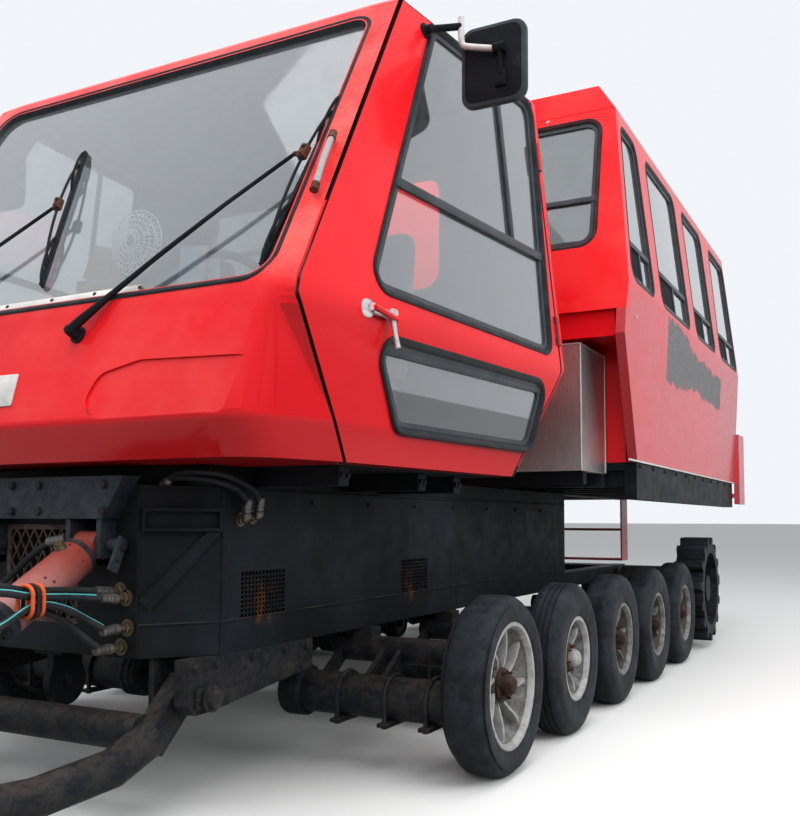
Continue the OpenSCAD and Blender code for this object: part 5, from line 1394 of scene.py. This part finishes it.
# Seats, benches and the fan on the dashboard
def cushion(turn, low, high, crown, radius, cuts=9):
    """Stuffed pad: soft edges, sides pulled in a little and a raised middle; metres"""
    mesh = bmesh.new()
    bmesh.ops.create_cube(mesh, size=2)
    bmesh.ops.subdivide_edges(mesh, edges=mesh.edges[:], cuts=cuts, use_grid_fill=True)
    half, centre = (Vector(high) - Vector(low)) / 2, (Vector(high) + Vector(low)) / 2
    for v in mesh.verts:
        u = v.co.copy()
        p = Vector((u.x * half.x, u.y * half.y, u.z * half.z))
        core = Vector([max(-(h - radius), min(h - radius, c)) for c, h in zip(p, half)])
        away = p - core
        if away.length > 1e-6:
            p = core + away.normalized() * radius
        swell = (1 - u.x ** 4) * (1 - u.y ** 4)
        p.z += crown * swell * (0.5 + 0.5 * u.z) - crown * 0.9 * max(0, u.z)
        pull = 1 - 0.012 * (1 - u.z ** 2)
        v.co = Vector((p.x * pull, p.y * pull, p.z)) + centre
    points = [turn @ v.co for v in mesh.verts]
    faces = [tuple(v.index for v in f.verts) for f in mesh.faces]
    mesh.free()
    return points, faces


# Cab seats: the middles' X and the floor in millimetres, and the backs' lean in degrees
SEATS_X = (("right", -520), ("left", 420))
SEAT_FLOOR_Z = 1094
SEAT_LEAN = 8


def seats():
    for name, x in SEATS_X:
        base = cushion(PLAIN, at(x - 240, -300, 1331), at(x + 240, 198, 1452), 0.022, 0.040)
        lean = Matrix.Translation(at(x, 200, 1420)) @ Matrix.Rotation(math.radians(-SEAT_LEAN), 4, "X")
        lean = lean @ Matrix.Rotation(math.pi / 2, 4, "X")
        back = cushion(lean, (-0.220, 0.030, -0.108), (0.220, 0.678, 0.0), 0.020, 0.040)
        for part, shape in (("cushion", base), ("back", back)):
            piece = make_piece(f"seat_{part}_{name}", shape, "seat_fabric")
            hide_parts("cab_seats")
        stand = [slab(PLAIN, at(x - 60, -120, SEAT_FLOOR_Z), at(x + 60, 60, 1336), 0.008),
                 slab(PLAIN, at(x - 170, -230, 1316), at(x + 170, 160, 1334), 0.004)]
        make_piece(f"seat_stand_{name}", stand, "black_paint")


BENCH_OUT = 1180
BENCH_FRONT, BENCH_REAR = 1700, 4250
BENCH_PADS = 4
CABIN_Z = 1165


def benches():
    length = (BENCH_REAR - BENCH_FRONT) / BENCH_PADS
    for side, sign in SIDES:
        for k in range(BENCH_PADS):
            y0, y1 = BENCH_FRONT + length * k, BENCH_FRONT + length * (k + 1)
            x0, x1 = sorted(((BENCH_OUT - 360) * sign, (BENCH_OUT - 4) * sign))
            low, high = at(x0, y0 + 2, CABIN_Z + 262), at(x1, y1 - 2, CABIN_Z + 382)
            seat = cushion(PLAIN, low, high, 0.020, 0.035, 7)
            piece = make_piece(f"bench_pad_{side}_{k + 1}", seat, "seat_fabric")
            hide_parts("cabin_benches")
            turn = frame_of(at((BENCH_OUT - 88) * sign, (y0 + y1) / 2, CABIN_Z + 572), LEFT * -sign)
            half = (length / 2 - 2) * MM
            back = cushion(turn, (-half, -0.186, -0.084), (half, 0.186, 0.0), 0.014, 0.030, 7)
            rest = make_piece(f"bench_back_{side}_{k + 1}", back, "seat_fabric")
            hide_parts("cabin_benches")
        x0, x1 = sorted(((BENCH_OUT - 320) * sign, (BENCH_OUT - 20) * sign))
        legs = [slab(PLAIN, at(x0, y, CABIN_Z), at(x1, y + 50, CABIN_Z + 266), 0.004)
                for y in (1800, 2900, BENCH_REAR - 150)]
        make_piece(f"bench_legs_{side}", legs, "black_paint")


# The fan, in millimetres: its hub's profile, and the cage's rings and spokes as (radius, outwards)
FAN_MIDDLE = (141, -740, 1816)
FAN_R = 112
FAN_HUB = [(CORE, 30), (18, 28), (22, 20), (22, -40), (14, -50), (CORE, -50)]
FAN_FOOT = [(CORE, 14), (30, 12), (45, 2), (45, 0.5), (CORE, 0.5)]
CAGE_RINGS = ((22, 34), (40, 32), (58, 28), (76, 22), (94, 14), (FAN_R, 4), (76, -16), (45, -24))
CAGE_SPOKE = ((22, 34), (45, 31), (76, 22), (98, 12), (FAN_R, 4), (76, -16), (30, -26))
CAGE_SPOKES = 32
DASH_Z = 1499


def fan():
    """Round wire-caged fan that stands on the dashboard"""
    seat = frame_of(at(*FAN_MIDDLE), FRONT)

    def around(r, h, a):
        return seat @ Vector((r * MM * math.cos(a), r * MM * math.sin(a), h * MM))

    wires = [tube([around(r, h, math.pi * k / 18) for k in range(37)], 0.0020, 6) for r, h in CAGE_RINGS]
    for k in range(CAGE_SPOKES):
        wires.append(tube([around(r, h, 2 * math.pi * k / CAGE_SPOKES) for r, h in CAGE_SPOKE], 0.0015, 5))
    parts = [lathe(FAN_HUB, seat, 24)]
    for k in range(4):
        blade = seat @ Matrix.Rotation(math.pi * k / 2, 4, "Z") @ Matrix.Rotation(0.5, 4, "X")
        parts.append(slab(blade, (0.018, -0.020, -0.002), (0.076, 0.020, 0.002), 0.001))
    x, y, z = FAN_MIDDLE
    foot = at(x, y - 60, DASH_Z)
    post = [foot, foot + UP * 0.12 + Vector((0, 0.02, 0)), at(x, y + 30, 1700), at(x, y + 34, z)]
    parts += [tube(smooth_path(post, 6), 0.009, 10), lathe(FAN_FOOT, frame_of(foot, UP), 24)]
    make_piece("dash_fan_cage", wires, "fan_white")
    make_piece("dash_fan", parts, "dark_plastic")


def dash_things():
    """Plain things left behind the windshield: a carton, a card, folders and a rag"""
    tilt = Matrix.Rotation(0.25, 4, "Y") @ Matrix.Rotation(-0.2, 4, "X")
    turn = Matrix.Translation(at(0, -740, 1760)) @ tilt
    card = slab(turn, (-0.085, -0.003, -0.062), (0.085, 0.003, 0.062), 0.001)
    box = slab(Matrix.Translation(at(0, -700, DASH_Z)), (-0.10, -0.08, 0), (0.10, 0.08, 0.205), 0.006)
    make_piece("dash_carton", [card, box], "carton")
    folders = []
    for x, dy, lean, high in ((330, 0, 0.10, 0.29), (420, 25, -0.16, 0.25)):
        turn = Matrix.Translation(at(x, -700 + dy, DASH_Z)) @ Matrix.Rotation(lean, 4, "Y")
        folders.append(slab(turn, (-0.055, -0.006, 0), (0.055, 0.006, high), 0.001))
    make_piece("dash_folders", folders, "folder_blue")
    rag = cushion(PLAIN, at(250, -760, DASH_Z - 2), at(410, -640, 1560), 0.018, 0.028, 7)
    make_piece("dash_rag", rag, "orange_band")


# Small things on the red shells
def shell_details():
    turn = frame_of(nose_point(0, 1268), NOSE_OUT)
    make_piece("nose_badge_blank", rounded_slab(turn, 0.066, 0.052, 0.005, 0.006, 0.0015), "trim_white")
    rivets = bolts_on("cabin_side_walls", [(1600, 1273, 1837)], -LEFT, 8, True)
    rivets += bolts_on("cabin_front_wall", [(x, 800, 2880) for x in (-900, -450, 0, 450, 900)], -FRONT, 6)
    make_piece("cabin_studs", rivets, "rod_steel")
    strips = []
    for _, sign in SIDES:
        inner, outer = sorted((1296 * sign, 1304 * sign))
        strips.append(slab(PLAIN, at(inner, 1270, 1164), at(outer, 4420, 1172)))
    make_piece("cabin_sill_strip", strips, "trim_white")


# Floor, light and background
FLOOR_COLOR = (0.70, 0.70, 0.69)
FLOOR_BOUNCE = (0.05, 0.05, 0.05)
FLOOR_HALF = 300
SKY_COLOR = (0.93, 0.96, 1.0, 1)
SKY_LIGHT = 0.60
SKY_SEEN = 0.95


def seen_rays(tree):
    """1 where the camera, a reflection or a pane looks at it, 0 where it only lights the object"""
    rays = tree.nodes.new("ShaderNodeLightPath")
    seen = rays.outputs["Is Camera Ray"]
    for kind in ("Is Glossy Ray", "Is Transmission Ray"):
        either = tree.nodes.new("ShaderNodeMath")
        either.operation = "MAXIMUM"
        tree.links.new(seen, either.inputs[0])
        tree.links.new(rays.outputs[kind], either.inputs[1])
        seen = either.outputs[0]
    return seen


def add_stage():
    data = bpy.data.meshes.new("floor")
    corners = [(x * FLOOR_HALF, y * FLOOR_HALF, 0) for x, y in ((-1, -1), (1, -1), (1, 1), (-1, 1))]
    data.from_pydata(corners, [], [(0, 1, 2, 3)])
    floor = bpy.data.objects.new("floor", data)
    bpy.context.scene.collection.objects.link(floor)
    s = Shader("floor", FLOOR_COLOR, 0.9, Specular_IOR_Level=0.1)
    s.set("Base Color", s.mix(seen_rays(s.tree), FLOOR_BOUNCE, FLOOR_COLOR))
    data.materials.append(s.material)
    world = bpy.data.worlds.new("world")
    bpy.context.scene.world = world
    world.use_nodes = True
    tree = world.node_tree
    background = tree.nodes["Background"]
    strength = tree.nodes.new("ShaderNodeMix")
    tree.links.new(seen_rays(tree), strength.inputs[0])
    strength.inputs[2].default_value = SKY_LIGHT
    strength.inputs[3].default_value = SKY_SEEN
    tree.links.new(strength.outputs[0], background.inputs["Strength"])
    background.inputs["Color"].default_value = SKY_COLOR


# Name, place and target in millimetres, size in metres, power in watts
LAMPS = (
    ("sky_soft", (1500, -1500, 8500), (0, 1000, 1000), (9, 9), 900),
    ("front_soft", (3500, -7500, 4200), (0, -500, 1500), (5, 4), 260),
    ("side_soft", (7500, 1500, 3800), (800, 1500, 1500), (6, 4), 330))


def add_lights():
    """Soft lamps, which no reflection shows"""
    for name, place, target, size, power in LAMPS:
        data = bpy.data.lights.new(name, "AREA")
        data.shape = "RECTANGLE"
        data.size, data.size_y = size
        data.energy = power
        lamp = bpy.data.objects.new(name, data)
        lamp.visible_glossy = False
        lamp.matrix_world = frame_of(at(*place), at(*place) - at(*target))
        bpy.context.scene.collection.objects.link(lamp)


add_camera()
finish_nodes()
for dress in (window_trim, wheels, wipers, handles, mirrors, hoses, cylinder_details, tub_details,
              pivot_details, axle_details, drive_details, box_details, seats, benches, fan, dash_things,
              shell_details):
    dress()
add_stage()
add_lights()
bpy.context.scene.view_settings.view_transform = "Standard"
